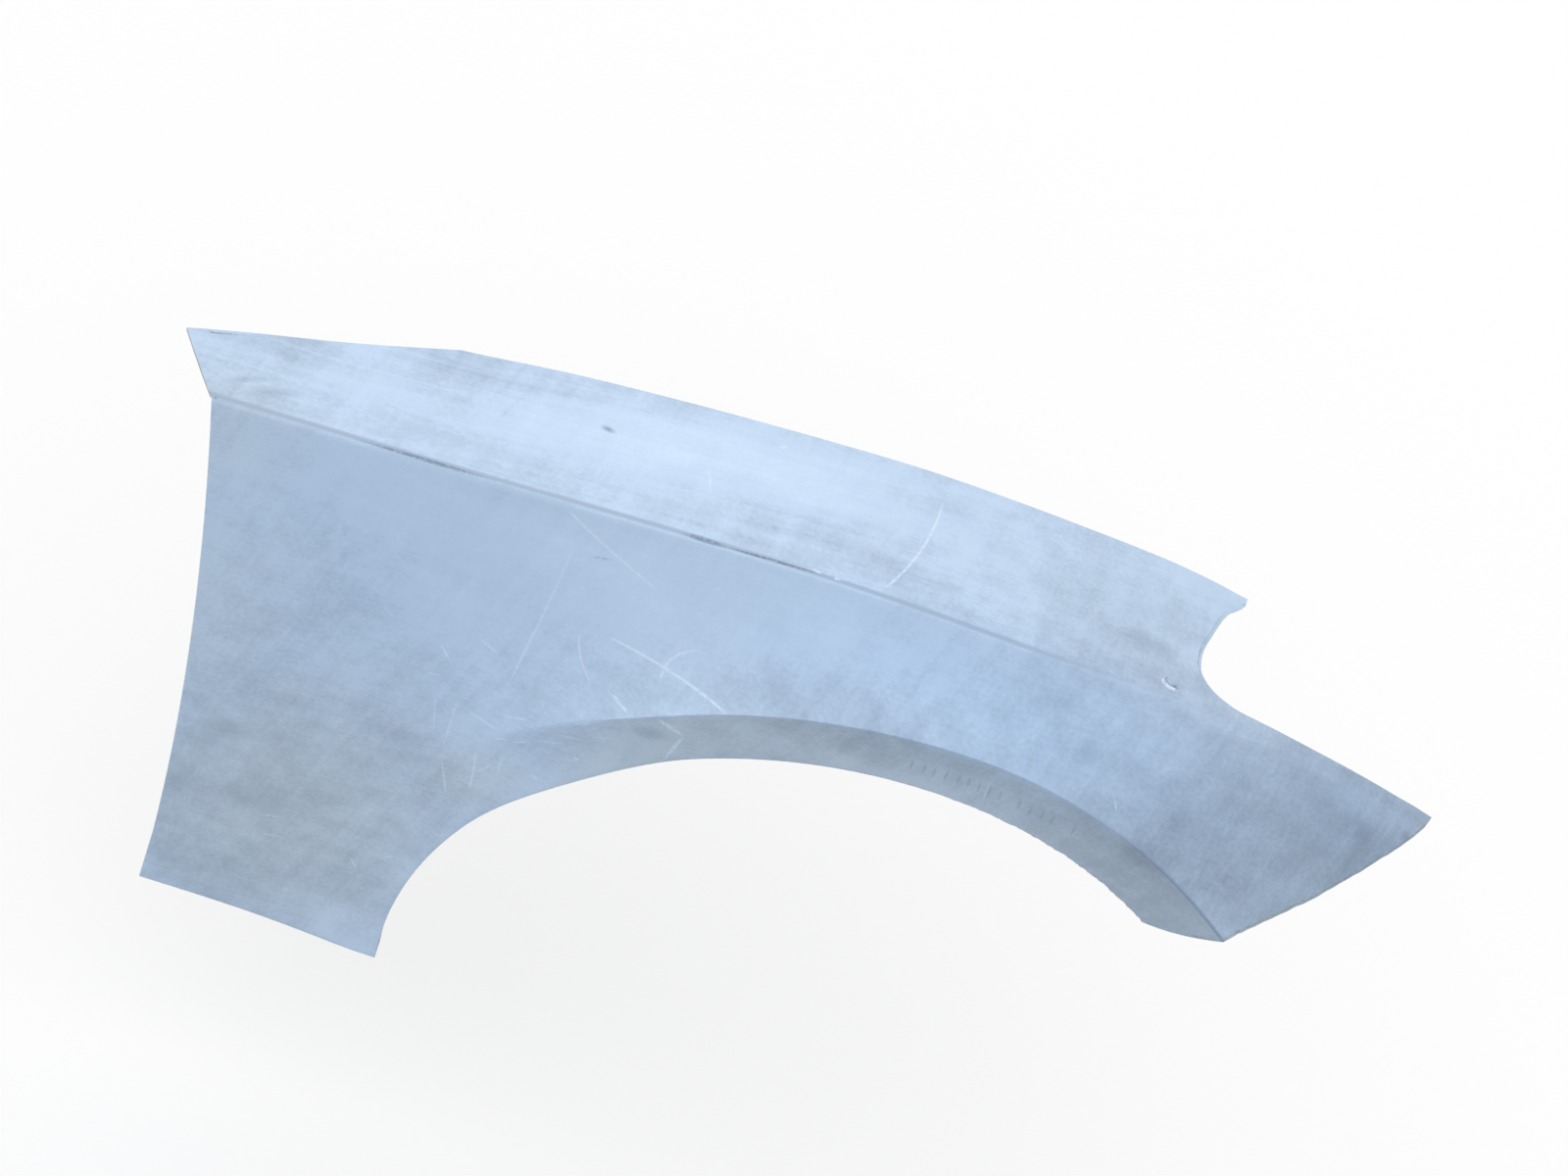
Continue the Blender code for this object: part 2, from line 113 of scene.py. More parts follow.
# Shares: place along the fender (-1 rear corner, 0 wheel's centre, 1 nose's tip) and value
CREASE_HEIGHT = (
    (-0.945, 0.880), (-0.615, 0.914), (-0.415, 0.938), (-0.200, 0.956), (0.050, 0.957), (0.280, 0.950),
    (0.420, 0.934), (0.594, 0.899), (0.746, 0.844), (0.888, 0.772), (1.000, 0.708),
)
CREASE_INSET = (
    (-0.95, 0.14), (-0.31, 0.20), (0.00, 0.25), (0.25, 0.30), (0.47, 0.38), (0.61, 0.48), (0.84, 0.75),
    (1.00, 1.02),
)
LEAN = ((-0.95, 0.04), (-0.62, 0.05), (-0.31, 0.14), (0.00, 0.28), (0.28, 0.38), (0.58, 0.47), (1.00, 0.50))
SHOULDER_SLOPE = (
    (-1.00, 0.30), (-0.86, 0.16), (-0.72, 0.14), (-0.45, 0.18), (-0.15, 0.165), (0.12, 0.14), (0.35, 0.118),
    (0.45, 0.12), (0.56, 0.22), (0.75, 0.60), (1.00, 0.80),
)
FLARE_BY_ANGLE = ((40, 0.35), (60, 0.60), (90, 1.00), (120, 0.95), (158, 0.80))
CREASE_ROUNDING = ((-1.0, 0.0012), (0.0, 0.0012), (0.3, 0.0022), (0.42, 0.0045), (0.6, 0.0060), (1.0, 0.0060))
COWL_EDGE = ((-1.000, 0.352), (-0.864, 0.584), (-0.716, 0.824))
BONNET_EDGE = (
    (-0.716, 0.824), (-0.617, 0.871), (-0.451, 0.893), (-0.286, 0.931), (-0.138, 0.976), (0.025, 1.000),
    (0.189, 1.000), (0.318, 0.993), (0.427, 0.972),
)
LAMP_NOTCH = (
    (0.461, 0.100), (0.396, 0.125), (0.350, 0.193), (0.330, 0.275), (0.329, 0.370), (0.352, 0.585),
    (0.388, 0.800), (0.423, 0.915), (0.427, 0.972),
)
NOSE_EDGE = ((0.999, 0.072), (0.928, 0.068), (0.715, 0.050), (0.566, 0.068), (0.461, 0.100))
SEAM = ((0.690, 0.655), (0.766, 0.671), (0.834, 0.6875), (0.950, 0.7095))
NOSE_CREASE = 0.983

# Columns from the door to the nose, and rows from the lip to the bonnet
SILL_COLUMNS = 40
ARCH_COLUMNS = 236
COWL_COLUMNS = 36
BONNET_COLUMNS = 172
NOTCH_COLUMNS = 20
NOSE_COLUMNS = 48
COLUMNS = SILL_COLUMNS + ARCH_COLUMNS
NOTCH_COLUMN = COWL_COLUMNS + BONNET_COLUMNS
BAND_ROWS = np.linspace(0, 1, 13)
SIDE_ROWS = np.concatenate([
    np.linspace(0, 0.10, 6), np.linspace(0.135, 0.90, 22), (0.94, 0.965, 0.982, 0.992, 1),
])
NOSE_ROWS = np.array((0, 0.03, 0.07, 0.12, 0.19, 0.28, 0.40, 0.55, 0.75, 1.0))
NOTCH_SHARE = 0.36
SHOULDER_ROWS = np.concatenate([NOTCH_SHARE * NOSE_ROWS, np.linspace(NOTCH_SHARE, 1, 17)[1:]])
CREASE_ROW = len(BAND_ROWS) - 1 + len(SIDE_ROWS) - 1
NOSE_ROW = CREASE_ROW + len(NOSE_ROWS) - 1
TOP_ROW = CREASE_ROW + len(SHOULDER_ROWS) - 1
ARCH_SPREAD = ((0.0, 0.0), (0.746, 0.80), (1.0, 1.0))
CREASE_SPREAD = ((0.0, 0.0), (0.134, 0.132), (0.478, 0.411), (0.776, 0.721), (0.851, 0.782), (1.0, 1.0))

# Uneven hand-trimmed lip and seam: height, wavelengths, phase seeds, and where the lip's unevenness starts
TRIM_ERROR = 0.0011
TRIM_WAVES = (0.041, 0.023, 0.012, 0.0071)
LIP_TRIM_SEED = 3
SEAM_TRIM_SEED = 5
LIP_TRIM_ANGLE = 110
LIP_TRIM_FADE = 40
SEAM_TRIM_SHARE = 3

# Edges whose returns join, rows of a return or of the ledge, and counts of cells: left free at the tips and
# at the ledge's front end, averaged over at corners, and taken to run out
RETURN_CHAINS = (("door", "sill", "lip", "seam"), ("nose", "notch"), ("bonnet",))
RETURN_ROWS = (0.25, 0.50, 0.75, 1.0)
TIP_STEPS = 3
LEDGE_STOP = 8
CORNER_STEPS = 6
RUN_OUT_STEPS = 10
LEAST_RETURN = 0.08
SHARP_ANGLE = 40
ROUNDING_STEPS = 3

# Light, floor and camera. The window's vector is where the dome is brighter, and by how much.
WINDOW = (-0.55, -0.10, 0.0)
FLOOR_HALF = 14.0
FLOOR_LEVEL = -0.74
LENS_MM = 50.0
SENSOR_MM = 36.0
CAMERA_RIGHT = (0.92314351, 0.11922298, 0.36550231)
CAMERA_UP = (-0.34897443, 0.65876552, 0.66651695)
CAMERA_BACK = (-0.16131618, -0.74284175, 0.64974089)
CAMERA_PLACE = (-0.44431494, -1.15026899, 1.50711352)

# Colours
FLOOR_SEEN = "#FFFFFF"
FLOOR_BOUNCE = "#7C8EA2"
# The grimy and polished tones below also serve as painted shade and painted light
GRIMY_AND_SHADED = "#92A3B8"
PLAIN = "#C3D9F2"
POLISHED_AND_LIT = "#CFE5FD"
# Painted shade: the side's shaded tone, drawn just above the crease
CREASE_SHADE_COLOUR = "#A0B4CD"
BAND_DIRT = "#7C90AB"
# Also the colour of the chip's painted shadow
SMUDGE_AND_SHADOW = "#71839A"
# Also the colour of a painted shadow line along the lip's edge
RUBBED_AND_SHADOWED = "#66788E"
SCUFFED = "#7B93B4"
# Also the colour of the chip's painted highlight
CHALKY_AND_HIGHLIGHT = "#DCECFF"
POOLED_RESIN = "#6F7F78"
THIN_RESIN = "#A3AFA0"
GLASS_BUNDLES = "#C3CBBE"

# Factors on the linear colour, where it is tinted greyer or bluer than elsewhere; the greyer tint on the
# downward-facing lip band is painted shade
GREY_AND_SHADE_TINT = (1.04, 0.97, 0.88, 1.0)
BLUER = (0.90, 0.96, 1.02, 1.0)

# Patterns: length and width in mm, then the turn in degrees. The coat's real grain is too fine to show, and
# is drawn as coarse as it needs to be.
WIPES = (190, 9, 2)
CROSS_WIPES = (130, 14, 74)
CLOUDS = (110, 75)
MOTTLES = (26, 20)
GRAIN = (4.5, 3)
GRIT = (3, 3)
RIPPLES = (14, 11)
RESIN_POOLS = (90, 70)
STRANDS = (38, 2.0)
STRAND_TURNS = (12, 57, 98, 151)

# How much each pattern changes the tone of the coat, which runs from grimy (0) to polished (1), and its
# gloss; the tone also carries painted light and shade
BASE_TONE = 0.56
PLAIN_TONE = 0.6
SIDE_WIPES = 0.14
FRONT_WIPES = 0.18
REAR_WIPES = 0.42
CROSS_DEPTH = 0.26
SIDE_CLOUDS = 0.45
SHOULDER_CLOUDS = 0.30
MOTTLE_DEPTH = 0.30
GRAIN_DEPTH = 0.34
# Painted shade on the shoulder along the crease, standing in for its steeper shape there; it also dulls the
# gloss
CREASE_SHADE_DEPTH = -0.13
DULL_ROUGHNESS = 0.66
POLISHED_ROUGHNESS = 0.46
COAT_IOR = 1.5

# The laminate: how much of its colour the glass bundles give, and its gloss
STRAND_COVER = 0.55
RESIN_ROUGHNESS = 0.28
STRAND_ROUGHNESS = 0.50
RESIN_IOR = 1.55

# Relief in metres
RIPPLE_DEPTH = 0.00006
CHIP_DEPTH = 0.0012
STRAND_RELIEF = 0.00035
POOL_RELIEF = 0.0015

# Marks: (x, girth, length, width, turn, bend, strength), in mm and degrees on the unrolled skin

# Broad places lighter or darker than the rest: partly the coat's polish, and partly painted light over the
# middle and painted shade towards the nose and the lower rear
POLISH_LIGHT_AND_SHADE_PATCHES = (
    (-275, 78, 460, 105, 3, 0, 0.34),
    (-340, -40, 700, 200, 1, 0, 0.22),
    (-500, -400, 560, 520, 0, 0, -0.18),
    (150, -110, 560, 260, -14, 0, -0.22),
    (300, -70, 520, 260, -12, 0, -0.32),
    (430, -50, 280, 200, 0, 0, -0.30),
    (-20, -150, 260, 60, 0, 0, 0.16),
    (-110, -95, 320, 110, 2, 0, -0.22),
    (80, 50, 260, 140, 0, 0, -0.20),
    (-150, 40, 300, 60, -3, 0, -0.14),
    (-600, 70, 200, 90, 0, 0, -0.16),
    (-430, 95, 240, 90, 0, 0, -0.16),
)
# Chalky scratches, the whitest ones over the arch, and a painted highlight on the rim of the chip by the lamp
# notch
SCRATCHES_AND_CHIP_HIGHLIGHT = (
    (-98, 57, 111, 3.0, -108, -7.5, 0.80),
    (-264, 56, 27, 2.6, -75, 0, 0.55),
    (-284, 68, 18, 2.4, -84, 0, 0.40),
    (-316, -30, 100, 2.6, -29, 2.6, 0.95),
    (-342, -107, 150, 2.6, -92, -1, 0.60),
    (-240, -110, 110, 3.2, -9, -1.8, 0.95),
    (-242, -100, 42, 2.8, -117, 10, 0.75),
    (-304, -129, 47, 2.6, -59, 4.5, 0.60),
    (-264, -149, 21, 3.2, -23, 0, 0.85),
    (-222, -154, 34, 5.0, -33, 0, 1.00),
    (-211, -182, 42, 4.4, -95, 0, 1.00),
    (-397, -172, 25, 2.5, -50, 0, 0.60),
    (-399, -196, 16, 2.4, 7, 0, 0.50),
    (-370, -150, 25, 2.5, -26, 0, 0.60),
    (-479, -407, 23, 2.2, 15, 0, 0.45),
    (-473, -430, 24, 2.2, 9, 0, 0.45),
    (-403, -432, 16, 2.4, -52, 0, 0.55),
    (-378, -410, 11, 2.4, 45, 0, 0.55),
    (-343, -280, 49, 2.8, -81, -1, 0.70),
    (-336, -272, 19, 2.6, -118, 0, 0.60),
    (-334, -232, 11, 2.6, 27, 0, 0.70),
    (-298, -260, 9, 2.6, -18, 0, 0.75),
    (-275, -224, 7, 2.6, -27, 0, 0.70),
    (-218, 108, 8, 2.4, 27, 0, 0.50),
    (111, -80, 11, 2.2, -56, 0, 0.50),
    (18, -114, 32, 2.2, -77, 0, 0.45),
    (-156, 4, 6, 3.0, 0, 0, 0.90),
    (-172, 5, 9, 2.4, -10, 0, 0.80),
    # Painted highlight on the chip's rim
    (112, 11.5, 15, 5.5, -24, 3, 1.00),
    (-300, -215, 26, 2.4, 20, 0, 0.50),
    (-318, -226, 20, 2.4, 32, 0, 0.55),
    (-352, -222, 34, 2.4, -12, 0, 0.60),
    (-330, -205, 22, 2.4, 24, 0, 0.50),
    (-286, -201, 22, 2.4, 8, 0, 0.50),
    (-264, -190, 18, 2.4, 10, 0, 0.55),
    (-374, -240, 60, 2.4, -86, 0, 0.45),
    (-388, -236, 44, 2.4, -76, 0, 0.40),
    (-362, -300, 46, 2.4, -70, 0, 0.50),
    (-326, -262, 26, 2.4, -84, 0, 0.45),
)
# Broad places tinted bluer, and places tinted greyer
BLUE_PLACES = (
    (10, -50, 620, 200, -4, 0, 1.0),
    (-120, -60, 300, 140, -4, 0, 0.6),
    (330, -20, 320, 120, 0, 0, 0.5),
)
GREY_PLACES = (
    (-470, -400, 460, 520, 0, 0, 1.0),
    (-590, -220, 260, 420, 0, 0, 0.6),
    (-345, -290, 200, 140, 30, 0, 0.8),
    (-600, -30, 160, 200, 0, 0, 0.5),
)
# Dark streaks, most of them where the crease has rubbed; the one at girth -183 is a painted shadow line along
# the lip's edge
CREASE_RUBS_AND_LIP_SHADOW = (
    (-463, 1.5, 112, 4.4, 0, 0, 0.70),
    (-450, 1.0, 60, 4.0, 1, 0, 0.60),
    (-256, 2.2, 40, 6.4, -1, 0, 0.62),
    (-205, 2.6, 92, 3.0, 1, 0, 0.85),
    (-318, -39, 20, 3, 10, 0, 0.30),
    # Painted shadow line along the lip's edge
    (-172, -183, 62, 4.0, 26, 0, 0.70),
)
# Smudges, and the painted shadow beside the chip by the lamp notch
SMUDGES_AND_CHIP_SHADOW = (
    (-346, 77, 16, 8, -15, 0, 0.70),
    (-578, 20, 52, 14, 20, 0, 0.34),
    (-598, 24, 44, 9, 25, 0, 0.30),
    (93, 46, 64, 34, 0, 0, 0.26),
    (150, 70, 50, 40, 0, 0, 0.14),
    (-232, -168, 44, 26, 0, 0, 0.30),
    # Painted shadow beside the chip
    (118.5, 13.5, 7, 5, -20, 0, 0.95),
    (401, -13, 26, 12, 0, 0, 0.40),
    (300, -60, 70, 36, 30, 0, 0.22),
    (345, -30, 60, 24, -20, 0, 0.20),
    (-545, -330, 90, 50, 40, 0, 0.18),
)
# Chip by the lamp notch
CHIP = ((116, 15, 14, 6, -20, 2, 0.90),)
# Row of short scuffs on the lip band
SCUFFS = tuple(
    (x, -112 - abs(x) * 0.06, 20, 3.4, 101, 0, 0.34)
    for x in (-44, -34, -26, -16, -6, 2, 11, 20, 29, 46, 56, 66, 75, 94)
)

# Millimetre, what is added to Object coordinates to measure from the wheel's centre, and settings of nodes
MM = 0.001
WHEEL_OFFSET = (LEDGE_POINT[0], 0, LEDGE_POINT[2])
SOFT = {"interpolation_type": "SMOOTHSTEP"}
TIMES = {"operation": "MULTIPLY"}
TIMES_PLUS = {"operation": "MULTIPLY_ADD"}
LARGER = {"operation": "MAXIMUM"}
DOT = {"operation": "DOT_PRODUCT"}
MIXED = {"data_type": "RGBA"}
TINTED = {"data_type": "RGBA", "blend_type": "MULTIPLY"}


def smooth_curve(points, at):
    """Cubic through (place, value) points, straight beyond the ends.

    The slope at a point is the mean of its neighbours' slopes, weighted towards the nearer one.
    """
    place, value = np.array(points, float).T
    span = np.diff(place)
    rise = np.diff(value) / span
    inner = (rise[:-1] * span[1:] + rise[1:] * span[:-1]) / (span[:-1] + span[1:])
    slope = np.concatenate([rise[:1], inner, rise[-1:]])
    at = np.asarray(at, float)
    i = np.clip(np.searchsorted(place, at) - 1, 0, len(span) - 1)
    u = (at - place[i]) / span[i]
    values = (1 + 2 * u) * (1 - u) ** 2 * value[i] + u**2 * (3 - 2 * u) * value[i + 1]
    slopes = u * (1 - u) ** 2 * slope[i] - u**2 * (1 - u) * slope[i + 1]
    before = value[0] + (at - place[0]) * slope[0]
    after = value[-1] + (at - place[-1]) * slope[-1]
    return np.where(at < place[0], before, np.where(at > place[-1], after, values + slopes * span[i]))


def spaced(points, shares):
    """Points at shares of the length of a smooth curve through a few points."""
    points = np.array(points, float)
    run = np.concatenate([[0], np.cumsum(np.linalg.norm(np.diff(points, axis=0), axis=1))])
    at = np.asarray(shares) * run[-1]
    return np.column_stack([smooth_curve(np.column_stack([run, column]), at) for column in points.T])


def even(steps):
    """Shares from 0 to 1 in equal steps."""
    return np.linspace(0, 1, steps + 1)


def fade(share):
    """Soft step: 0 up to share 0, then 3s^2 - 2s^3, then 1."""
    share = np.clip(share, 0, 1)
    return share * share * (3 - 2 * share)


def bow(share):
    """Parabola: 0 at both ends and 1 halfway."""
    return 4 * share * (1 - share)


def ripple(run, waves, seed):
    """Unevenness of a hand-trimmed edge: a sum of sines of falling height and set phases, about -1 to 1."""
    phases = np.random.default_rng(seed).uniform(0, 2 * np.pi, len(waves))
    return sum(np.sin(2 * np.pi * run / wave + phase) for wave, phase in zip(waves, phases)) / len(waves)


def along(x):
    """Share along the fender: length over the reach of its rear or its front end."""
    return np.where(x < 0, x / REAR_REACH, x / FRONT_REACH)


def length_at(place):
    """Length at a share along the fender, the reverse of along."""
    return np.where(place < 0, place * REAR_REACH, place * FRONT_REACH)


def crease_height(x):
    """Height of the crease: the crown's height times the share that its table gives at this length."""
    return CROWN * smooth_curve(CREASE_HEIGHT, along(x))


def wheel_angle(x, z):
    """Angle round the wheel's centre in degrees: the arc tangent of height over length."""
    return np.degrees(np.arctan2(z, x)) % 360


def band_radius(angle):
    """Radius of the band's edge, which comes in a little towards the front by the same soft step as fade."""
    return BAND_RADIUS - BAND_TAPER * fade((90 - angle) / (90 - BAND_FRONT_ANGLE))


def band_strength(x, z):
    """1 where the lip band is crisp, falling to 0 where it dies away behind the wheel."""
    return fade((FADE_END_ANGLE - wheel_angle(x, z)) / (FADE_END_ANGLE - FADE_START_ANGLE))


def wall_inset(x, z):
    """The crease's inset, less the lean times the depth below it, less a flare.

    The flare decays with e^(-distance / FLARE_REACH) away from the lip band.
    """
    lean = smooth_curve(LEAN, along(x)) * (crease_height(x) - z)
    flare = FLARE * smooth_curve(FLARE_BY_ANGLE, wheel_angle(x, z)) * band_strength(x, z)
    beyond = np.maximum(np.hypot(x, z) - band_radius(wheel_angle(x, z)), 0)
    return NOSE_SWEEP * smooth_curve(CREASE_INSET, along(x)) - lean - flare * np.exp(-beyond / FLARE_REACH)


def side_inset(x, z):
    """Inset of the side and of the lip band, which runs from the flare's edge back to zero at the lip."""
    radius = np.hypot(x, z)
    edge = band_radius(wheel_angle(x, z))
    outwards = np.maximum(edge / radius, 1)
    down_band = np.clip((edge - radius) / (edge - ARCH_RADIUS), 0, 1)
    band = wall_inset(x * outwards, z * outwards) * (1 - down_band)
    strength = np.where(radius < edge, band_strength(x, z), 0)
    return strength * band + (1 - strength) * wall_inset(x, z)


def skin(x, girth):
    """Skin point at a length and a girth: height below the crease where negative, and inboard run above it.

    The bend at the crease is rounded with r ln(1 + e^(girth / r)), which goes smoothly from 0 to girth.
    """
    rounding = smooth_curve(CREASE_ROUNDING, along(x))
    inboard = rounding * np.logaddexp(0, girth / rounding)
    height = crease_height(x) + girth - inboard
    rise = smooth_curve(SHOULDER_SLOPE, along(x)) * inboard
    return np.stack([x, side_inset(x, height) + inboard, height + rise], axis=-1)


def side_points(x, z):
    """(length, girth) of points on the side, whose girth is their height less the crease's."""
    return np.stack([x, z - crease_height(x)], axis=-1)


def shoulder_points(shares):
    """(length, girth) of points on the shoulder, whose girth is their share of its width."""
    place, width = np.array(shares).T
    return np.stack([length_at(place), width * SHOULDER_WIDTH], axis=-1)


def patch(bottom, top, rear, front, rows):
    """Grid between four edges: the blends of facing edges added, less the blend of the corners."""
    u = np.linspace(0, 1, len(bottom))[:, None, None]
    v = np.array(rows)[None, :, None]
    upward = (1 - v) * bottom[:, None] + v * top[:, None]
    forward = (1 - u) * rear[None] + u * front[None]
    corners = (1 - u) * ((1 - v) * bottom[0] + v * top[0]) + u * ((1 - v) * bottom[-1] + v * top[-1])
    return upward + forward - corners


def foot_edge(radius, height, front_angle):
    """Run from the door to a ring round the wheel, level but for its rising front end, then along the ring.

    The rise is SILL_RISE times the sixth power of the share of the way to the ring.
    """
    rear_angle = 180 - math.degrees(math.asin((height + SILL_RISE) / radius))
    share = smooth_curve(ARCH_SPREAD, even(ARCH_COLUMNS))
    angle = np.radians(rear_angle + share * (front_angle - rear_angle))
    x, z = radius * np.cos(angle), radius * np.sin(angle)
    rear = even(SILL_COLUMNS)[:-1]
    sill_x = -DOOR_FOOT + rear * (x[0] + DOOR_FOOT)
    return np.concatenate([sill_x, x]), np.concatenate([height + SILL_RISE * rear**SILL_RISE_POWER, z])


def band_net():
    """Lip band: straight lines from the trimmed lip, which is uneven in front, to the band's edge."""
    inner_x, inner_z = foot_edge(ARCH_RADIUS, -SILL_DROP, LIP_FRONT_ANGLE)
    outer_x, outer_z = foot_edge(BAND_RADIUS, LIP_BAND - SILL_DROP, BAND_FRONT_ANGLE)
    taper = band_radius(wheel_angle(outer_x, outer_z)) / BAND_RADIUS
    outer_x, outer_z = outer_x * taper, outer_z * taper
    angle = wheel_angle(inner_x, inner_z)
    turn = np.radians(angle)
    uneven = TRIM_ERROR * ripple(turn * ARCH_RADIUS, TRIM_WAVES, LIP_TRIM_SEED)
    uneven = uneven * fade((LIP_TRIM_ANGLE - angle) / LIP_TRIM_FADE)
    inner_x = inner_x + uneven * np.cos(turn)
    inner_z = inner_z + uneven * np.sin(turn)
    x = inner_x[:, None] + BAND_ROWS * (outer_x - inner_x)[:, None]
    z = inner_z[:, None] + BAND_ROWS * (outer_z - inner_z)[:, None]
    z[-1] -= LIP_END_BOW * bow(BAND_ROWS)
    return side_points(x, z)


def crease_edge():
    """(length, girth) along the crease, from the door to the nose, at girth 0."""
    run = smooth_curve(CREASE_SPREAD, even(COLUMNS))
    x = run * (DOOR_TOP + NOSE_CREASE * FRONT_REACH) - DOOR_TOP
    return np.stack([x, np.zeros(COLUMNS + 1)], axis=-1)


def side_net(band_edge, crease):
    """Side between the band's edge, the crease, the bowed door edge and the uneven seam to the bumper."""
    door = band_edge[0] + SIDE_ROWS[:, None] * (crease[0] - band_edge[0])
    door[:, 0] += DOOR_BOW * bow(SIDE_ROWS)
    place, height = np.array(SEAM).T
    seam = np.vstack([band_edge[-1], side_points(length_at(place), CROWN * height), crease[-1]])
    seam = spaced(seam, SIDE_ROWS)
    uneven = TRIM_ERROR * ripple(seam[:, 0], TRIM_WAVES, SEAM_TRIM_SEED)
    seam[:, 1] += uneven * fade(bow(SIDE_ROWS) * SEAM_TRIM_SHARE)
    return patch(band_edge, crease, door, seam, SIDE_ROWS)


def shoulder_nets(crease):
    """Shoulder in two nets that share the column at the lamp notch: behind it, and the narrow nose."""
    cowl = spaced(shoulder_points(COWL_EDGE), even(COWL_COLUMNS))
    bonnet = spaced(shoulder_points(BONNET_EDGE), even(BONNET_COLUMNS))
    steps = NOTCH_COLUMNS + len(SHOULDER_ROWS) - len(NOSE_ROWS)
    notch_points = shoulder_points(LAMP_NOTCH)
    notch = spaced(notch_points, even(steps))
    nose = spaced(shoulder_points(NOSE_EDGE), even(NOSE_COLUMNS))
    split = NOTCH_COLUMN
    rear = crease[0] + SHOULDER_ROWS[:, None] * (cowl[0] - crease[0])
    under_notch = crease[split] + NOSE_ROWS[:, None] * (notch[NOTCH_COLUMNS] - crease[split])
    front = np.vstack([under_notch[:-1], notch[NOTCH_COLUMNS:]])
    wide = patch(crease[: split + 1], np.vstack([cowl[:-1], bonnet]), rear, front, SHOULDER_ROWS)
    nose_top = np.vstack([notch[: NOTCH_COLUMNS + 1][::-1][:-1], nose[::-1]])
    tip = crease[-1] + NOSE_ROWS[:, None] * (nose[0] - crease[-1])
    return wide, patch(crease[split:], nose_top, under_notch, tip, NOSE_ROWS)


def skin_net():
    """(length, girth) of every column and row, with nan where the nose has no such row."""
    band = band_net()
    crease = crease_edge()
    wide, narrow = shoulder_nets(crease)
    net = np.full((COLUMNS + 1, TOP_ROW + 1, 2), np.nan)
    foot = len(BAND_ROWS) - 1
    net[:, :foot] = band[:, :-1]
    net[:, foot : CREASE_ROW + 1] = side_net(band[:, -1], crease)
    net[: NOTCH_COLUMN + 1, CREASE_ROW:] = wide
    net[NOTCH_COLUMN + 1 :, CREASE_ROW : NOSE_ROW + 1] = narrow[1:]
    return net


def same(cells, shares, length):
    """The same vector at every cell: a direction's shares times a length."""
    return np.tile(np.array(shares) * length, (len(cells), 1))


def run_of(columns, rows):
    """Cells of a run, from its columns and rows, one of which is a single number."""
    return np.stack(np.broadcast_arrays(columns, rows), axis=-1)


def joined(runs):
    """One chain of cells and returns from edges that follow each other, averaged where two of them meet."""
    cells, reach = runs[0]
    for next_cells, next_reach in runs[1:]:
        cells = np.vstack([cells, next_cells[1:]])
        reach = np.vstack([reach[:-1], (reach[-1:] + next_reach[:1]) / 2, next_reach[1:]])
    return cells, reach


def turned_softly(vectors):
    """Moving average over a few cells, so that a chain's returns turn gradually round its corners."""
    cells = 2 * CORNER_STEPS + 1
    padded = np.pad(vectors, ((CORNER_STEPS, CORNER_STEPS), (0, 0)), mode="edge")
    return np.column_stack([np.convolve(part, np.ones(cells) / cells, "valid") for part in padded.T])


def run_out(vectors):
    """Shortens a chain's returns to LEAST_RETURN of their length at both of its ends, by fade."""
    last = len(vectors) - 1
    step = np.arange(last + 1)
    share = np.maximum(fade(np.minimum(step, last - step) / RUN_OUT_STEPS), LEAST_RETURN)
    return vectors * share[:, None]


def edge_runs(points):
    """Cells and returns of each edge that carries one; the tips at nose, lamp notch and cowl have none.

    The notch's return turns from the nose's fold to its own by fade. The bonnet's goes down to the ledge.
    """
    notch_front = NOTCH_COLUMN + NOTCH_COLUMNS
    door = run_of(0, np.arange(CREASE_ROW, -1, -1))
    sill = run_of(np.arange(SILL_COLUMNS + 1), 0)
    lip = run_of(np.arange(SILL_COLUMNS, COLUMNS + 1), 0)
    seam = run_of(COLUMNS, np.arange(CREASE_ROW + 1))
    nose = run_of(np.arange(COLUMNS - TIP_STEPS, notch_front - 1, -1), NOSE_ROW)
    under_notch = run_of(np.arange(notch_front, NOTCH_COLUMN, -1), NOSE_ROW)
    behind_notch = run_of(NOTCH_COLUMN, np.arange(NOSE_ROW, TOP_ROW - TIP_STEPS + 2))
    notch = np.vstack([under_notch, behind_notch])
    bonnet = run_of(np.arange(NOTCH_COLUMN - TIP_STEPS, TIP_STEPS - 1, -1), TOP_ROW)
    turn = fade(np.linspace(0, 1, len(notch)))[:, None]
    from_nose = (1 - turn) * same(notch, NOSE_FOLD, EDGE_RETURN)
    height = points[tuple(bonnet.T)][:, 2]
    return {
        "door": (door, same(door, DOOR_FOLD, DOOR_RETURN)),
        "sill": (sill, same(sill, INBOARD, SILL_RETURN)),
        "lip": (lip, same(lip, INBOARD, LIP_RETURN)),
        "seam": (seam, same(seam, SEAM_FOLD, SEAM_RETURN)),
        "nose": (nose, same(nose, NOSE_FOLD, EDGE_RETURN)),
        "notch": (notch, from_nose + turn * same(notch, NOTCH_FOLD, NOTCH_RETURN)),
        "bonnet": (bonnet, np.outer(LEDGE_HEIGHT - height, (0, 0, 1))),
    }


def holes_along(line, reach, shares, radius):
    """Middle in the wall, axis and radius of holes at shares of a line's length.

    A hole's axis is the cross product of the return's reach and the line's direction.
    """
    step = np.diff(line, axis=0)
    run = np.concatenate([[0], np.cumsum(np.linalg.norm(step, axis=1))])
    at = np.array(shares) * run[-1]
    i = np.searchsorted(run, at) - 1
    start = line[i] + ((at - run[i]) / (run[i + 1] - run[i]))[:, None] * step[i]
    axis = np.cross(reach[i], step[i])
    axis /= np.linalg.norm(axis, axis=1, keepdims=True)
    middle = start + HOLE_ACROSS * reach[i] - axis * WALL / 2
    return [(m, a, radius) for m, a in zip(middle, axis)]


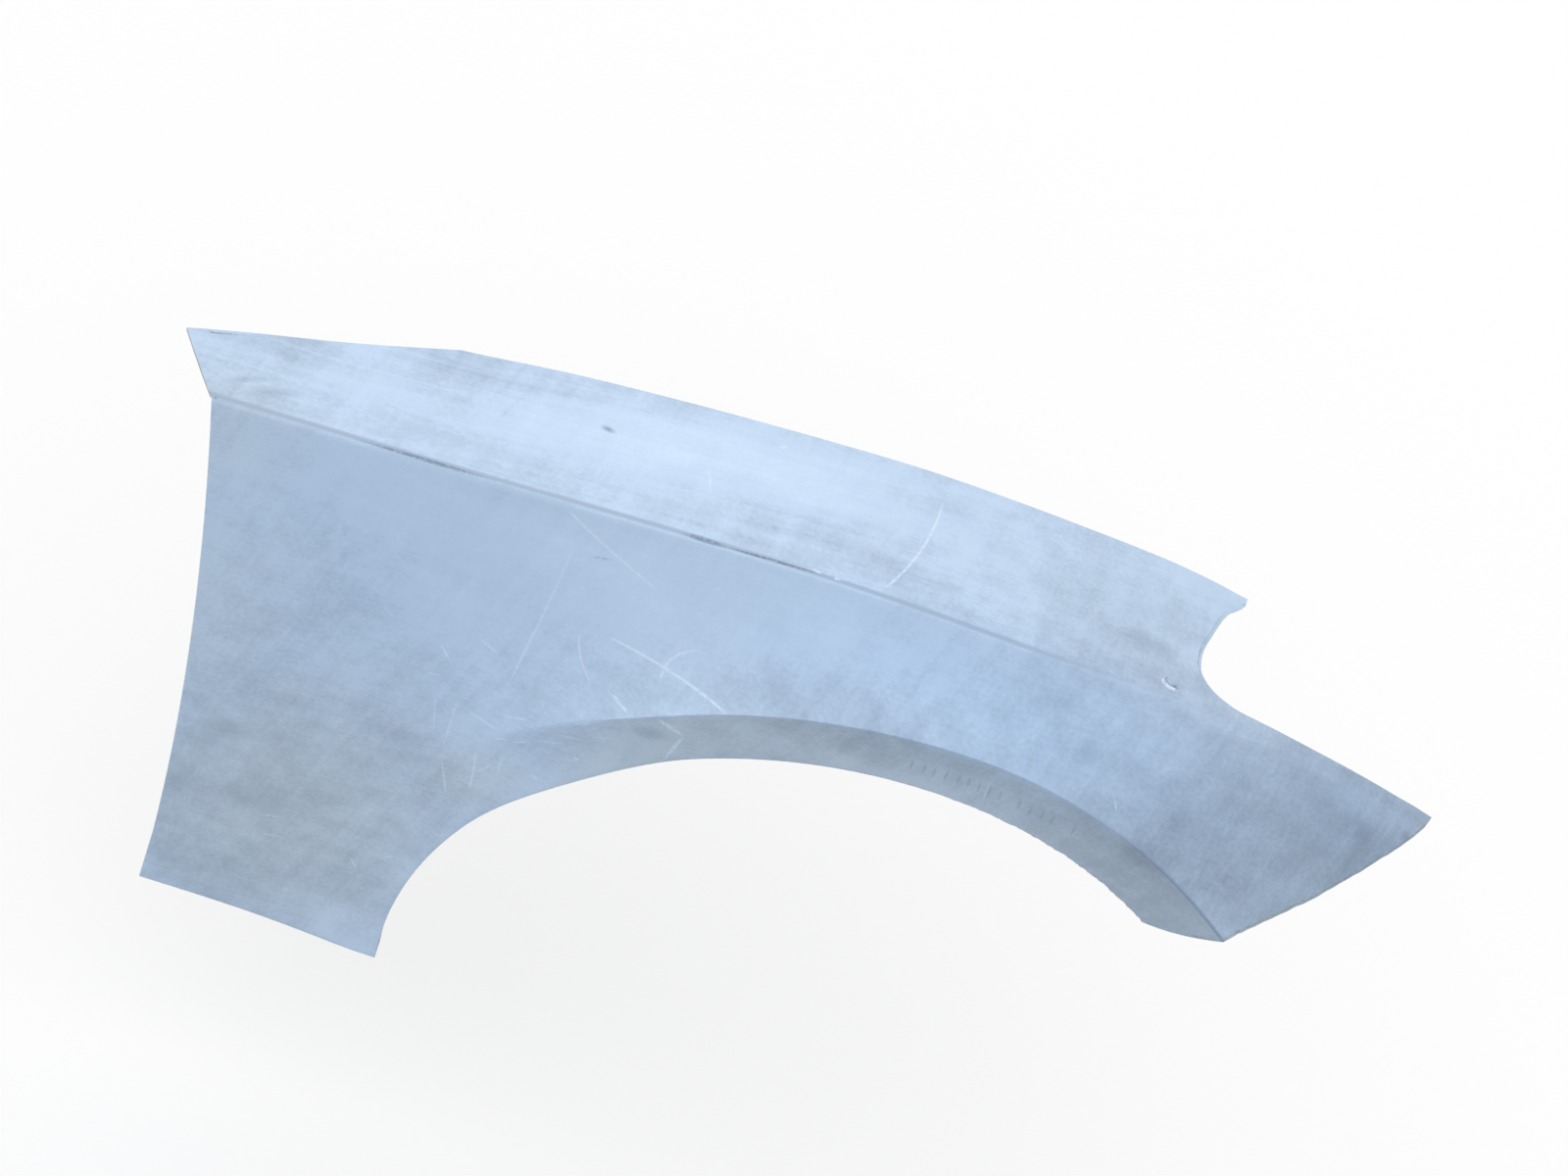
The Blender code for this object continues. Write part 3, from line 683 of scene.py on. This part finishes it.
def on_ledge(cells):
    """Which cells of the bonnet's edge the ledge hangs from."""
    return (cells[:, 0] >= COWL_COLUMNS) & (cells[:, 0] <= NOTCH_COLUMN - LEDGE_STOP)


def bolt_holes(points):
    """Holes in the returns of door, sill and seam, and in the ledge from its fold inwards."""
    runs = edge_runs(points)
    holes = []
    for edge, shares in (("door", DOOR_HOLES), ("sill", SILL_HOLES), ("seam", SEAM_HOLES)):
        cells, reach = runs[edge]
        holes += holes_along(points[tuple(cells.T)], reach, shares, RETURN_HOLE_RADIUS)
    cells, reach = runs["bonnet"]
    fold = (points[tuple(cells.T)] + reach)[on_ledge(cells)]
    return holes + holes_along(fold, same(fold, INBOARD, LEDGE_WIDTH), LEDGE_HOLES, LEDGE_HOLE_RADIUS)


def hole_cutter(holes):
    """Round prisms: middle + radius (across cos t + up sin t), pushed both ways along the hole's axis."""
    turn = 2 * np.pi * np.arange(HOLE_SIDES) / HOLE_SIDES
    vertices, faces = [], []
    for middle, axis, radius in holes:
        across = np.cross(axis, np.roll(axis, 1))
        across /= np.linalg.norm(across)
        up = np.cross(axis, across)
        ring = middle + radius * (np.outer(np.cos(turn), across) + np.outer(np.sin(turn), up))
        depth = axis * (WALL / 2 + CUT_OVERRUN)
        near = len(vertices) * HOLE_SIDES + np.arange(HOLE_SIDES)
        far = near + HOLE_SIDES
        vertices += [ring - depth, ring + depth]
        faces += [near[::-1].tolist(), far.tolist()]
        faces += np.stack([near, np.roll(near, -1), np.roll(far, -1), far], axis=-1).tolist()
    mesh = bpy.data.meshes.new("bolt_holes")
    mesh.from_pydata((np.concatenate(vertices) - LEDGE_POINT).tolist(), [], faces)
    cutter = bpy.data.objects.new("bolt_holes", mesh)
    bpy.context.scene.collection.objects.link(cutter)
    return cutter


def return_chains(points):
    """Edges that follow each other joined into three chains, whose returns run out at both ends."""
    runs = edge_runs(points)
    chains = []
    for edges in RETURN_CHAINS:
        cells, reach = joined([runs[edge] for edge in edges])
        if len(edges) > 1:
            reach = turned_softly(reach)
        chains.append((cells, run_out(reach)))
    return chains


def outwards(cells):
    """Unit step in (length, girth) that leads off the skin at each cell of its rim."""
    column, row = cells.T
    inner_end = (column == NOTCH_COLUMN) & (row > 0) & (row < TOP_ROW)
    side = np.select([column == 0, (column == COLUMNS) | inner_end], [-1, 1], 0)
    up = np.where(side != 0, 0, np.where(row == 0, -1, 1))
    return np.stack([side, up], axis=-1)


def fender_mesh():
    """Skin grid, a return from each chain of edges, and the ledge, as one open surface.

    A row of a return is the edge plus a share of its reach; its (length, girth) place leads on off the skin.
    """
    net = skin_net()
    points = skin(net[..., 0], net[..., 1])
    present = np.isfinite(points[..., 0])
    number = np.full(present.shape, -1)
    number[present] = np.arange(present.sum())
    quads = np.stack([number[:-1, :-1], number[1:, :-1], number[1:, 1:], number[:-1, 1:]], axis=-1)
    quads = quads.reshape(-1, 4)
    vertices = [points[present]]
    places = [net[present]]
    faces = [quads[(quads >= 0).all(axis=1)]]
    count = int(present.sum())

    def add_row(before, row_points, row_places):
        nonlocal count
        row = count + np.arange(len(row_points))
        vertices.append(row_points)
        places.append(row_places)
        faces.append(np.stack([before[1:], before[:-1], row[:-1], row[1:]], axis=-1))
        count += len(row_points)
        return row

    for cells, reach in return_chains(points):
        at = tuple(cells.T)
        row, edge, edge_place = number[at], points[at], net[at]
        step = outwards(cells)
        spread = np.linalg.norm(reach, axis=1)[:, None] * step
        for share in RETURN_ROWS:
            row = add_row(row, edge + share * reach, edge_place + share * spread)
    ledge = on_ledge(cells)
    row = row[ledge]
    for share in RETURN_ROWS:
        inboard = edge[ledge] + reach[ledge] + share * LEDGE_WIDTH * np.array(INBOARD)
        row = add_row(row, inboard, (edge_place + spread + share * LEDGE_WIDTH * step)[ledge])
    vertices = np.concatenate(vertices) - LEDGE_POINT
    return vertices, np.concatenate(places), np.concatenate(faces), bolt_holes(points)


def make_piece(name, vertices, faces, places):
    """Mesh object at the origin, with its (length, girth) places as the UV map named skin."""
    mesh = bpy.data.meshes.new(name)
    mesh.from_pydata(vertices.tolist(), [], faces.tolist())
    layer = mesh.uv_layers.new(name="skin")
    corner = np.empty(len(mesh.loops), int)
    mesh.loops.foreach_get("vertex_index", corner)
    layer.data.foreach_set("uv", places[corner].ravel())
    mesh.shade_smooth()
    piece = bpy.data.objects.new(name, mesh)
    bpy.context.scene.collection.objects.link(piece)
    return piece


def linear(hex_colour):
    """Linear RGBA of an sRGB hex colour."""
    shares = [int(hex_colour[i : i + 2], 16) / 255 for i in (1, 3, 5)]
    return tuple(s / 12.92 if s <= 0.04045 else ((s + 0.055) / 1.055) ** 2.4 for s in shares) + (1.0,)


def add(tree, kind, settings=None, **links):
    """Adds one node. Settings are its properties; links name sockets, with _ for a space, or in_N."""
    node = tree.nodes.new(kind)
    for name, value in (settings or {}).items():
        setattr(node, name, value)
    for name, value in links.items():
        socket = node.inputs[int(name[3:])] if name.startswith("in_") else node.inputs[name.replace("_", " ")]
        if isinstance(value, bpy.types.NodeSocket):
            tree.links.new(value, socket)
        else:
            socket.default_value = value
    return node


def new_material(name):
    """Material with one shader, linked to its output."""
    material = bpy.data.materials.new(name)
    material.use_nodes = True
    tree = material.node_tree
    tree.nodes.clear()
    shader = tree.nodes.new("ShaderNodeBsdfPrincipled")
    output = tree.nodes.new("ShaderNodeOutputMaterial")
    tree.links.new(shader.outputs["BSDF"], output.inputs["Surface"])
    return material, tree, shader


def stroke(tree, u, v, bend, strength):
    """Strength inside a tapering stroke, where |v - bend u^2| and u^2 are below 1, and 0 outside it."""
    square = add(tree, "ShaderNodeMath", TIMES, in_0=u, in_1=u).outputs[0]
    across = add(tree, "ShaderNodeMath", TIMES_PLUS, in_0=square, in_1=-bend, in_2=v).outputs[0]
    aside = add(tree, "ShaderNodeMath", {"operation": "ABSOLUTE"}, in_0=across).outputs[0]
    body = add(tree, "ShaderNodeMapRange", SOFT, Value=aside, From_Min=1.0, From_Max=0.2, To_Max=strength)
    taper = add(tree, "ShaderNodeMapRange", SOFT, Value=square, From_Min=1.0, From_Max=0.5)
    return add(tree, "ShaderNodeMath", TIMES, in_0=body.outputs[0], in_1=taper.outputs[0]).outputs[0]


def ellipse(tree, u, v, core, strength):
    """Strength out to the share core of an ellipse's radius, falling softly to 0 at its edge."""
    square = add(tree, "ShaderNodeMath", TIMES, in_0=v, in_1=v).outputs[0]
    both = add(tree, "ShaderNodeMath", TIMES_PLUS, in_0=u, in_1=u, in_2=square).outputs[0]
    out = add(tree, "ShaderNodeMath", {"operation": "SQRT"}, in_0=both).outputs[0]
    inside = add(tree, "ShaderNodeMapRange", SOFT, Value=out, From_Min=1.0, From_Max=core, To_Max=strength)
    return inside.outputs[0]


def marks(tree, place, table, join, core=0.0):
    """Marks of one kind joined into one value: each is (x, girth, length, width, turn, bend, strength) in mm.

    A mark's own coordinates are u, from -1 to 1 along it, and v, across it in half-widths. Each is a dot
    product with the place, whose third part is 1.
    """
    total = 0.0
    for x, girth, length, width, turn, bend, strength in table:
        cos, sin = math.cos(math.radians(turn)), math.sin(math.radians(turn))
        axes = []
        for right, up, size in ((cos, sin, length), (-sin, cos, width)):
            half = size * MM / 2
            row = (right / half, up / half, -(right * x + up * girth) * MM / half)
            axes.append(add(tree, "ShaderNodeVectorMath", DOT, in_0=place, in_1=row).outputs["Value"])
        u, v = axes
        mark = stroke(tree, u, v, 2 * bend / width, strength) if bend else ellipse(tree, u, v, core, strength)
        total = add(tree, "ShaderNodeMath", {"operation": join}, in_0=total, in_1=mark).outputs[0]
    return total


def noise(tree, place, along_mm, across_mm, turn=0, **settings):
    """Noise value, drawn out to a length and a width in mm and turned by an angle in degrees."""
    stretched = add(
        tree, "ShaderNodeMapping", {"vector_type": "TEXTURE"},
        Vector=place, Rotation=(0, 0, math.radians(turn)), Scale=(along_mm * MM, across_mm * MM, 1),
    )
    flat = {"noise_dimensions": "2D"}
    value = add(tree, "ShaderNodeTexNoise", flat, Vector=stretched.outputs[0], Scale=1.0, **settings)
    return value.outputs[0]


def shifted(tree, value, by, amount):
    """value + amount (by - 1/2)."""
    centred = add(tree, "ShaderNodeMath", {"operation": "SUBTRACT"}, in_0=by, in_1=0.5).outputs[0]
    return add(tree, "ShaderNodeMath", TIMES_PLUS, in_0=centred, in_1=amount, in_2=value).outputs[0]


def cloudiness_and_shade(tree, place, length, girth):
    """Tone of the coat, from grimy (0) to polished (1): broad patches of polish with painted light and shade,
    five patterns, and painted shade that also dulls the shoulder along the crease.

    Each pattern adds its depth times (noise - 1/2).
    """
    shoulder = add(tree, "ShaderNodeMapRange", SOFT, Value=girth, From_Min=-0.004, From_Max=0.004).outputs[0]
    # Broad patches: the coat's polish, with painted light over the middle and painted shade towards the nose
    # and the lower rear
    patches = marks(tree, place, POLISH_LIGHT_AND_SHADE_PATCHES, "ADD")
    tone = add(tree, "ShaderNodeMath", {"operation": "ADD"}, in_0=patches, in_1=BASE_TONE).outputs[0]
    wipes = noise(tree, place, *WIPES, Detail=5.0, Roughness=0.62, Distortion=0.5)
    rearward = add(
        tree, "ShaderNodeMapRange", SOFT,
        Value=length, From_Min=0.10, From_Max=-0.25, To_Min=FRONT_WIPES, To_Max=REAR_WIPES,
    ).outputs[0]
    depth = add(tree, "ShaderNodeMapRange", Value=shoulder, To_Min=SIDE_WIPES, To_Max=rearward)
    tone = shifted(tree, tone, wipes, depth.outputs[0])
    cross_wipes = noise(tree, place, *CROSS_WIPES, Detail=4.0, Roughness=0.62, Distortion=0.6)
    tone = shifted(tree, tone, cross_wipes, CROSS_DEPTH)
    clouds = noise(tree, place, *CLOUDS, Detail=3.0, Roughness=0.55)
    depth = add(tree, "ShaderNodeMapRange", Value=shoulder, To_Min=SIDE_CLOUDS, To_Max=SHOULDER_CLOUDS)
    tone = shifted(tree, tone, clouds, depth.outputs[0])
    tone = shifted(tree, tone, noise(tree, place, *MOTTLES, Detail=4.0, Roughness=0.62), MOTTLE_DEPTH)
    tone = shifted(tree, tone, noise(tree, place, *GRAIN, Detail=3.0, Roughness=0.70), GRAIN_DEPTH)
    # Painted shade on the shoulder along the crease, which also makes the coat there duller
    near_crease = add(
        tree, "ShaderNodeMapRange", SOFT, Value=girth, From_Min=0.050, From_Max=0.004, To_Max=CREASE_SHADE_DEPTH,
    ).outputs[0]
    return add(tree, "ShaderNodeMath", TIMES_PLUS, in_0=near_crease, in_1=shoulder, in_2=tone).outputs[0]


def crease_shade_strip(tree, length, girth):
    """Painted shade just above the crease: the side's shaded tone carried a few mm onto the shoulder, a soft
    strip that fades out towards the front.
    """
    above = add(tree, "ShaderNodeMapRange", SOFT, Value=girth, From_Min=0.0065, From_Max=0.0035).outputs[0]
    below = add(tree, "ShaderNodeMapRange", SOFT, Value=girth, From_Min=-0.0008, From_Max=0.0022).outputs[0]
    rear = add(tree, "ShaderNodeMapRange", SOFT, Value=length, From_Min=0.16, From_Max=-0.04, To_Max=0.90)
    strip = add(tree, "ShaderNodeMath", TIMES, in_0=above, in_1=below).outputs[0]
    return add(tree, "ShaderNodeMath", TIMES, in_0=strip, in_1=rear.outputs[0]).outputs[0]


def under_band_edge(tree):
    """Distance from the lip band's edge towards the wheel: band_radius, less the distance from its centre."""
    spot = add(tree, "ShaderNodeTexCoord").outputs["Object"]
    from_wheel = add(tree, "ShaderNodeVectorMath", TIMES_PLUS, in_0=spot, in_1=(1, 0, 1), in_2=WHEEL_OFFSET)
    from_wheel = from_wheel.outputs[0]
    ahead_of, _, over = add(tree, "ShaderNodeSeparateXYZ", Vector=from_wheel).outputs
    angle = add(tree, "ShaderNodeMath", {"operation": "ARCTAN2"}, in_0=over, in_1=ahead_of).outputs[0]
    edge = add(
        tree, "ShaderNodeMapRange", SOFT,
        Value=angle, From_Min=math.pi / 2, From_Max=math.radians(BAND_FRONT_ANGLE),
        To_Min=BAND_RADIUS, To_Max=BAND_RADIUS - BAND_TAPER,
    ).outputs[0]
    radius = add(tree, "ShaderNodeVectorMath", {"operation": "LENGTH"}, in_0=from_wheel).outputs["Value"]
    return add(tree, "ShaderNodeMath", {"operation": "SUBTRACT"}, in_0=edge, in_1=radius).outputs[0]


def gel_coat():
    """Unpainted gel coat on glass fibre, moulded against a polished mould: matte, one colour right through.

    Handling gives it what the eye sees: cloudy lengthwise wipes, chalky scratches, and darker streaks where
    the crease has rubbed. Its colour also carries painted light and shade: it is duller and darker towards
    the nose and the sill, partly grime and partly painted shade; there is painted shade along the crease and
    on the lip band, and a painted highlight and shadow at the chip.
    """
    material, tree, shader = new_material("gel_coat")
    place = add(tree, "ShaderNodeUVMap", {"uv_map": "skin"}).outputs[0]
    place = add(tree, "ShaderNodeVectorMath", {"operation": "ADD"}, in_0=place, in_1=(0, 0, 1)).outputs[0]
    length, girth, _ = add(tree, "ShaderNodeSeparateXYZ", Vector=place).outputs

    # The tone's dark end also gives painted shade, and its light end gives painted light
    tone = cloudiness_and_shade(tree, place, length, girth)
    ramp = add(tree, "ShaderNodeValToRGB", Fac=tone)
    stops = ramp.color_ramp.elements
    stops[0].position, stops[0].color = 0.0, linear(GRIMY_AND_SHADED)
    stops[1].position, stops[1].color = 1.0, linear(POLISHED_AND_LIT)
    stops.new(PLAIN_TONE).color = linear(PLAIN)
    colour = ramp.outputs["Color"]
    # Painted shade: the side's tone carried a few mm above the crease
    strip = crease_shade_strip(tree, length, girth)
    colour = add(tree, "ShaderNodeMix", MIXED, in_0=strip, in_6=colour, in_7=linear(CREASE_SHADE_COLOUR)).outputs[2]

    # The lip band is tinted greyer, painted shade of its downward-facing surface, and its edge is dirty in
    # front
    inwards = under_band_edge(tree)
    in_band = add(tree, "ShaderNodeMapRange", SOFT, Value=inwards, From_Max=0.004).outputs[0]
    on_arch = add(tree, "ShaderNodeMapRange", SOFT, Value=length, From_Min=-0.34, From_Max=-0.22).outputs[0]
    band = add(tree, "ShaderNodeMath", TIMES, in_0=in_band, in_1=on_arch).outputs[0]
    grey = marks(tree, place, GREY_PLACES, "MAXIMUM")
    grey = add(tree, "ShaderNodeMath", LARGER, in_0=grey, in_1=band).outputs[0]
    colour = add(tree, "ShaderNodeMix", TINTED, in_0=grey, in_6=colour, in_7=GREY_AND_SHADE_TINT).outputs[2]
    blue = marks(tree, place, BLUE_PLACES, "MAXIMUM")
    colour = add(tree, "ShaderNodeMix", TINTED, in_0=blue, in_6=colour, in_7=BLUER).outputs[2]
    aside = add(tree, "ShaderNodeMath", {"operation": "ABSOLUTE"}, in_0=inwards).outputs[0]
    on_edge = add(tree, "ShaderNodeMapRange", SOFT, Value=aside, From_Min=0.0020, From_Max=0.0004).outputs[0]
    front = add(tree, "ShaderNodeMapRange", SOFT, Value=length, From_Min=0.08, From_Max=0.20, To_Max=0.70)
    edge_dirt = add(tree, "ShaderNodeMath", TIMES, in_0=on_edge, in_1=front.outputs[0]).outputs[0]
    colour = add(tree, "ShaderNodeMix", MIXED, in_0=edge_dirt, in_6=colour, in_7=linear(BAND_DIRT)).outputs[2]

    # Marks, in the order in which they lie on each other; streaks and scratches are broken up by grit
    grit = noise(tree, place, *GRIT, Detail=2.0, Roughness=0.7)
    broken = add(tree, "ShaderNodeMapRange", SOFT, Value=grit, From_Min=0.34, From_Max=0.55, To_Min=0.35)
    # Among these marks are painted light and shade: a highlight and a shadow at the chip, and a shadow line
    # along the lip's edge
    for table, core, is_broken, tint in (
        (SMUDGES_AND_CHIP_SHADOW, 0.0, False, SMUDGE_AND_SHADOW),
        (CREASE_RUBS_AND_LIP_SHADOW, 0.4, True, RUBBED_AND_SHADOWED),
        (SCUFFS, 0.3, False, SCUFFED),
        (SCRATCHES_AND_CHIP_HIGHLIGHT, 0.6, True, CHALKY_AND_HIGHLIGHT),
    ):
        share = marks(tree, place, table, "MAXIMUM", core)
        if is_broken:
            share = add(tree, "ShaderNodeMath", TIMES, in_0=share, in_1=broken.outputs[0]).outputs[0]
        colour = add(tree, "ShaderNodeMix", MIXED, in_0=share, in_6=colour, in_7=linear(tint)).outputs[2]
    tree.links.new(colour, shader.inputs["Base Color"])

    roughness = add(tree, "ShaderNodeMapRange", Value=tone, To_Min=DULL_ROUGHNESS, To_Max=POLISHED_ROUGHNESS)
    tree.links.new(roughness.outputs[0], shader.inputs["Roughness"])
    shader.inputs["IOR"].default_value = COAT_IOR

    # Relief: faint ripple of the glass behind the gel coat, and the chip
    ripples = noise(tree, place, *RIPPLES, Detail=2.0, Roughness=0.5)
    height = shifted(tree, 0.0, ripples, RIPPLE_DEPTH)
    chip = marks(tree, place, CHIP, "MAXIMUM")
    height = add(tree, "ShaderNodeMath", TIMES_PLUS, in_0=chip, in_1=-CHIP_DEPTH, in_2=height).outputs[0]
    relief = add(tree, "ShaderNodeBump", Height=height, Distance=1.0, Strength=1.0)
    tree.links.new(relief.outputs["Normal"], shader.inputs["Normal"])
    return material


def laminate():
    """Chopped-strand mat laid up by hand: pale glass bundles 2 mm wide in greenish polyester resin.

    The bundles lie every way. The resin is shinier than the gel coat, uneven to the touch, and darker where
    it has pooled.
    """
    material, tree, shader = new_material("laminate")
    place = add(tree, "ShaderNodeUVMap", {"uv_map": "skin"}).outputs[0]
    strands = 0.0
    for turn in STRAND_TURNS:
        layer = noise(tree, place, *STRANDS, turn, Detail=2.0, Roughness=0.5, Distortion=0.4)
        bundle = add(tree, "ShaderNodeMapRange", SOFT, Value=layer, From_Min=0.52, From_Max=0.68).outputs[0]
        strands = add(tree, "ShaderNodeMath", LARGER, in_0=strands, in_1=bundle).outputs[0]
    pools = noise(tree, place, *RESIN_POOLS, Detail=4.0, Roughness=0.6)
    pooled, thin = linear(POOLED_RESIN), linear(THIN_RESIN)
    resin = add(tree, "ShaderNodeMix", MIXED, in_0=pools, in_6=pooled, in_7=thin).outputs[2]
    share = add(tree, "ShaderNodeMath", TIMES, in_0=strands, in_1=STRAND_COVER).outputs[0]
    colour = add(tree, "ShaderNodeMix", MIXED, in_0=share, in_6=resin, in_7=linear(GLASS_BUNDLES)).outputs[2]
    tree.links.new(colour, shader.inputs["Base Color"])
    gloss = add(tree, "ShaderNodeMapRange", Value=strands, To_Min=RESIN_ROUGHNESS, To_Max=STRAND_ROUGHNESS)
    tree.links.new(gloss.outputs[0], shader.inputs["Roughness"])
    shader.inputs["IOR"].default_value = RESIN_IOR
    height = add(tree, "ShaderNodeMath", TIMES, in_0=strands, in_1=STRAND_RELIEF).outputs[0]
    height = shifted(tree, height, pools, POOL_RELIEF)
    relief = add(tree, "ShaderNodeBump", Height=height, Distance=1.0, Strength=1.0)
    tree.links.new(relief.outputs["Normal"], shader.inputs["Normal"])
    return material


def seen(tree):
    """1 for a ray from the camera, a gloss or a glass, and 0 for one that only brings light."""
    ray = add(tree, "ShaderNodeLightPath").outputs
    clear = add(tree, "ShaderNodeMath", LARGER, in_0=ray["Is Camera Ray"], in_1=ray["Is Glossy Ray"])
    clear = add(tree, "ShaderNodeMath", LARGER, in_0=clear.outputs[0], in_1=ray["Is Transmission Ray"])
    return clear.outputs[0]


def floor_piece():
    """Wide level floor, white where it is seen, and dark as ground is to the light that bounces off it."""
    x = FLOOR_HALF * np.array((-1, 1, 1, -1))
    y = FLOOR_HALF * np.array((-1, -1, 1, 1))
    mesh = bpy.data.meshes.new("floor")
    mesh.from_pydata(np.column_stack([x, y, np.full(4, FLOOR_LEVEL)]).tolist(), [], [(0, 1, 2, 3)])
    material, tree, shader = new_material("floor")
    bounce, white = linear(FLOOR_BOUNCE), linear(FLOOR_SEEN)
    colour = add(tree, "ShaderNodeMix", MIXED, in_0=seen(tree), in_6=bounce, in_7=white).outputs[2]
    tree.links.new(colour, shader.inputs["Base Color"])
    shader.inputs["Roughness"].default_value = 1.0
    shader.inputs["Specular IOR Level"].default_value = 0.0
    mesh.materials.append(material)
    floor = bpy.data.objects.new("floor", mesh)
    bpy.context.scene.collection.objects.link(floor)
    return floor


def add_camera():
    """Camera of the photograph: about 2 m off, above and a little behind, rolled with the fender's tilt."""
    camera = bpy.data.objects.new("camera", bpy.data.cameras.new("camera"))
    camera.data.lens = LENS_MM
    camera.data.sensor_width = SENSOR_MM
    camera.data.sensor_fit = "HORIZONTAL"
    turned = Matrix((CAMERA_RIGHT, CAMERA_UP, CAMERA_BACK)).transposed().to_4x4()
    camera.matrix_world = Matrix.Translation(Vector(CAMERA_PLACE) - Vector(LEDGE_POINT)) @ turned
    bpy.context.scene.collection.objects.link(camera)
    bpy.context.scene.camera = camera


def add_light():
    """White dome of strength 1 + ray . WINDOW, brighter behind the fender than in front, as by a window."""
    world = bpy.data.worlds.new("dome")
    bpy.context.scene.world = world
    world.use_nodes = True
    tree = world.node_tree
    tree.nodes.clear()
    ray = add(tree, "ShaderNodeTexCoord").outputs["Generated"]
    towards = add(tree, "ShaderNodeVectorMath", DOT, in_0=ray, in_1=WINDOW).outputs["Value"]
    level = add(tree, "ShaderNodeMath", {"operation": "ADD"}, in_0=towards, in_1=1.0).outputs[0]
    strength = add(tree, "ShaderNodeMix", in_0=seen(tree), in_2=level, in_3=1.0).outputs[0]
    sky = add(tree, "ShaderNodeBackground", Color=(1, 1, 1, 1), Strength=strength)
    output = tree.nodes.new("ShaderNodeOutputWorld")
    tree.links.new(sky.outputs["Background"], output.inputs["Surface"])


def fender():
    """The whole moulding: rounded, given its wall, drilled, and made one plain mesh."""
    vertices, places, faces, holes = fender_mesh()
    piece = make_piece("fender_skin", vertices, faces, places)
    cutter = hole_cutter(holes)
    for finish in (gel_coat(), laminate()):
        piece.data.materials.append(finish)
        cutter.data.materials.append(finish)
    cutter.data.polygons.foreach_set("material_index", np.ones(len(cutter.data.polygons), int))
    rounding = piece.modifiers.new("rounded_edges", "BEVEL")
    rounding.limit_method = "ANGLE"
    rounding.angle_limit = math.radians(SHARP_ANGLE)
    rounding.width = EDGE_ROUNDING
    rounding.segments = ROUNDING_STEPS
    wall = piece.modifiers.new("wall", "SOLIDIFY")
    wall.thickness = WALL
    wall.offset = -1
    wall.material_offset = 1
    wall.material_offset_rim = 1
    drilled = piece.modifiers.new("bolt_holes", "BOOLEAN")
    drilled.operation = "DIFFERENCE"
    drilled.solver = "EXACT"
    drilled.object = cutter
    bpy.context.view_layer.update()
    whole = piece.evaluated_get(bpy.context.evaluated_depsgraph_get())
    finished = bpy.data.meshes.new_from_object(whole)
    piece.modifiers.clear()
    piece.data = finished
    bpy.data.objects.remove(cutter)
    finished.set_sharp_from_angle(angle=math.radians(SHARP_ANGLE))
    return piece


piece = fender()
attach(piece, "root")
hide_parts("fender_panel")
floor_piece()
add_camera()
add_light()
bpy.context.scene.view_settings.view_transform = "Standard"
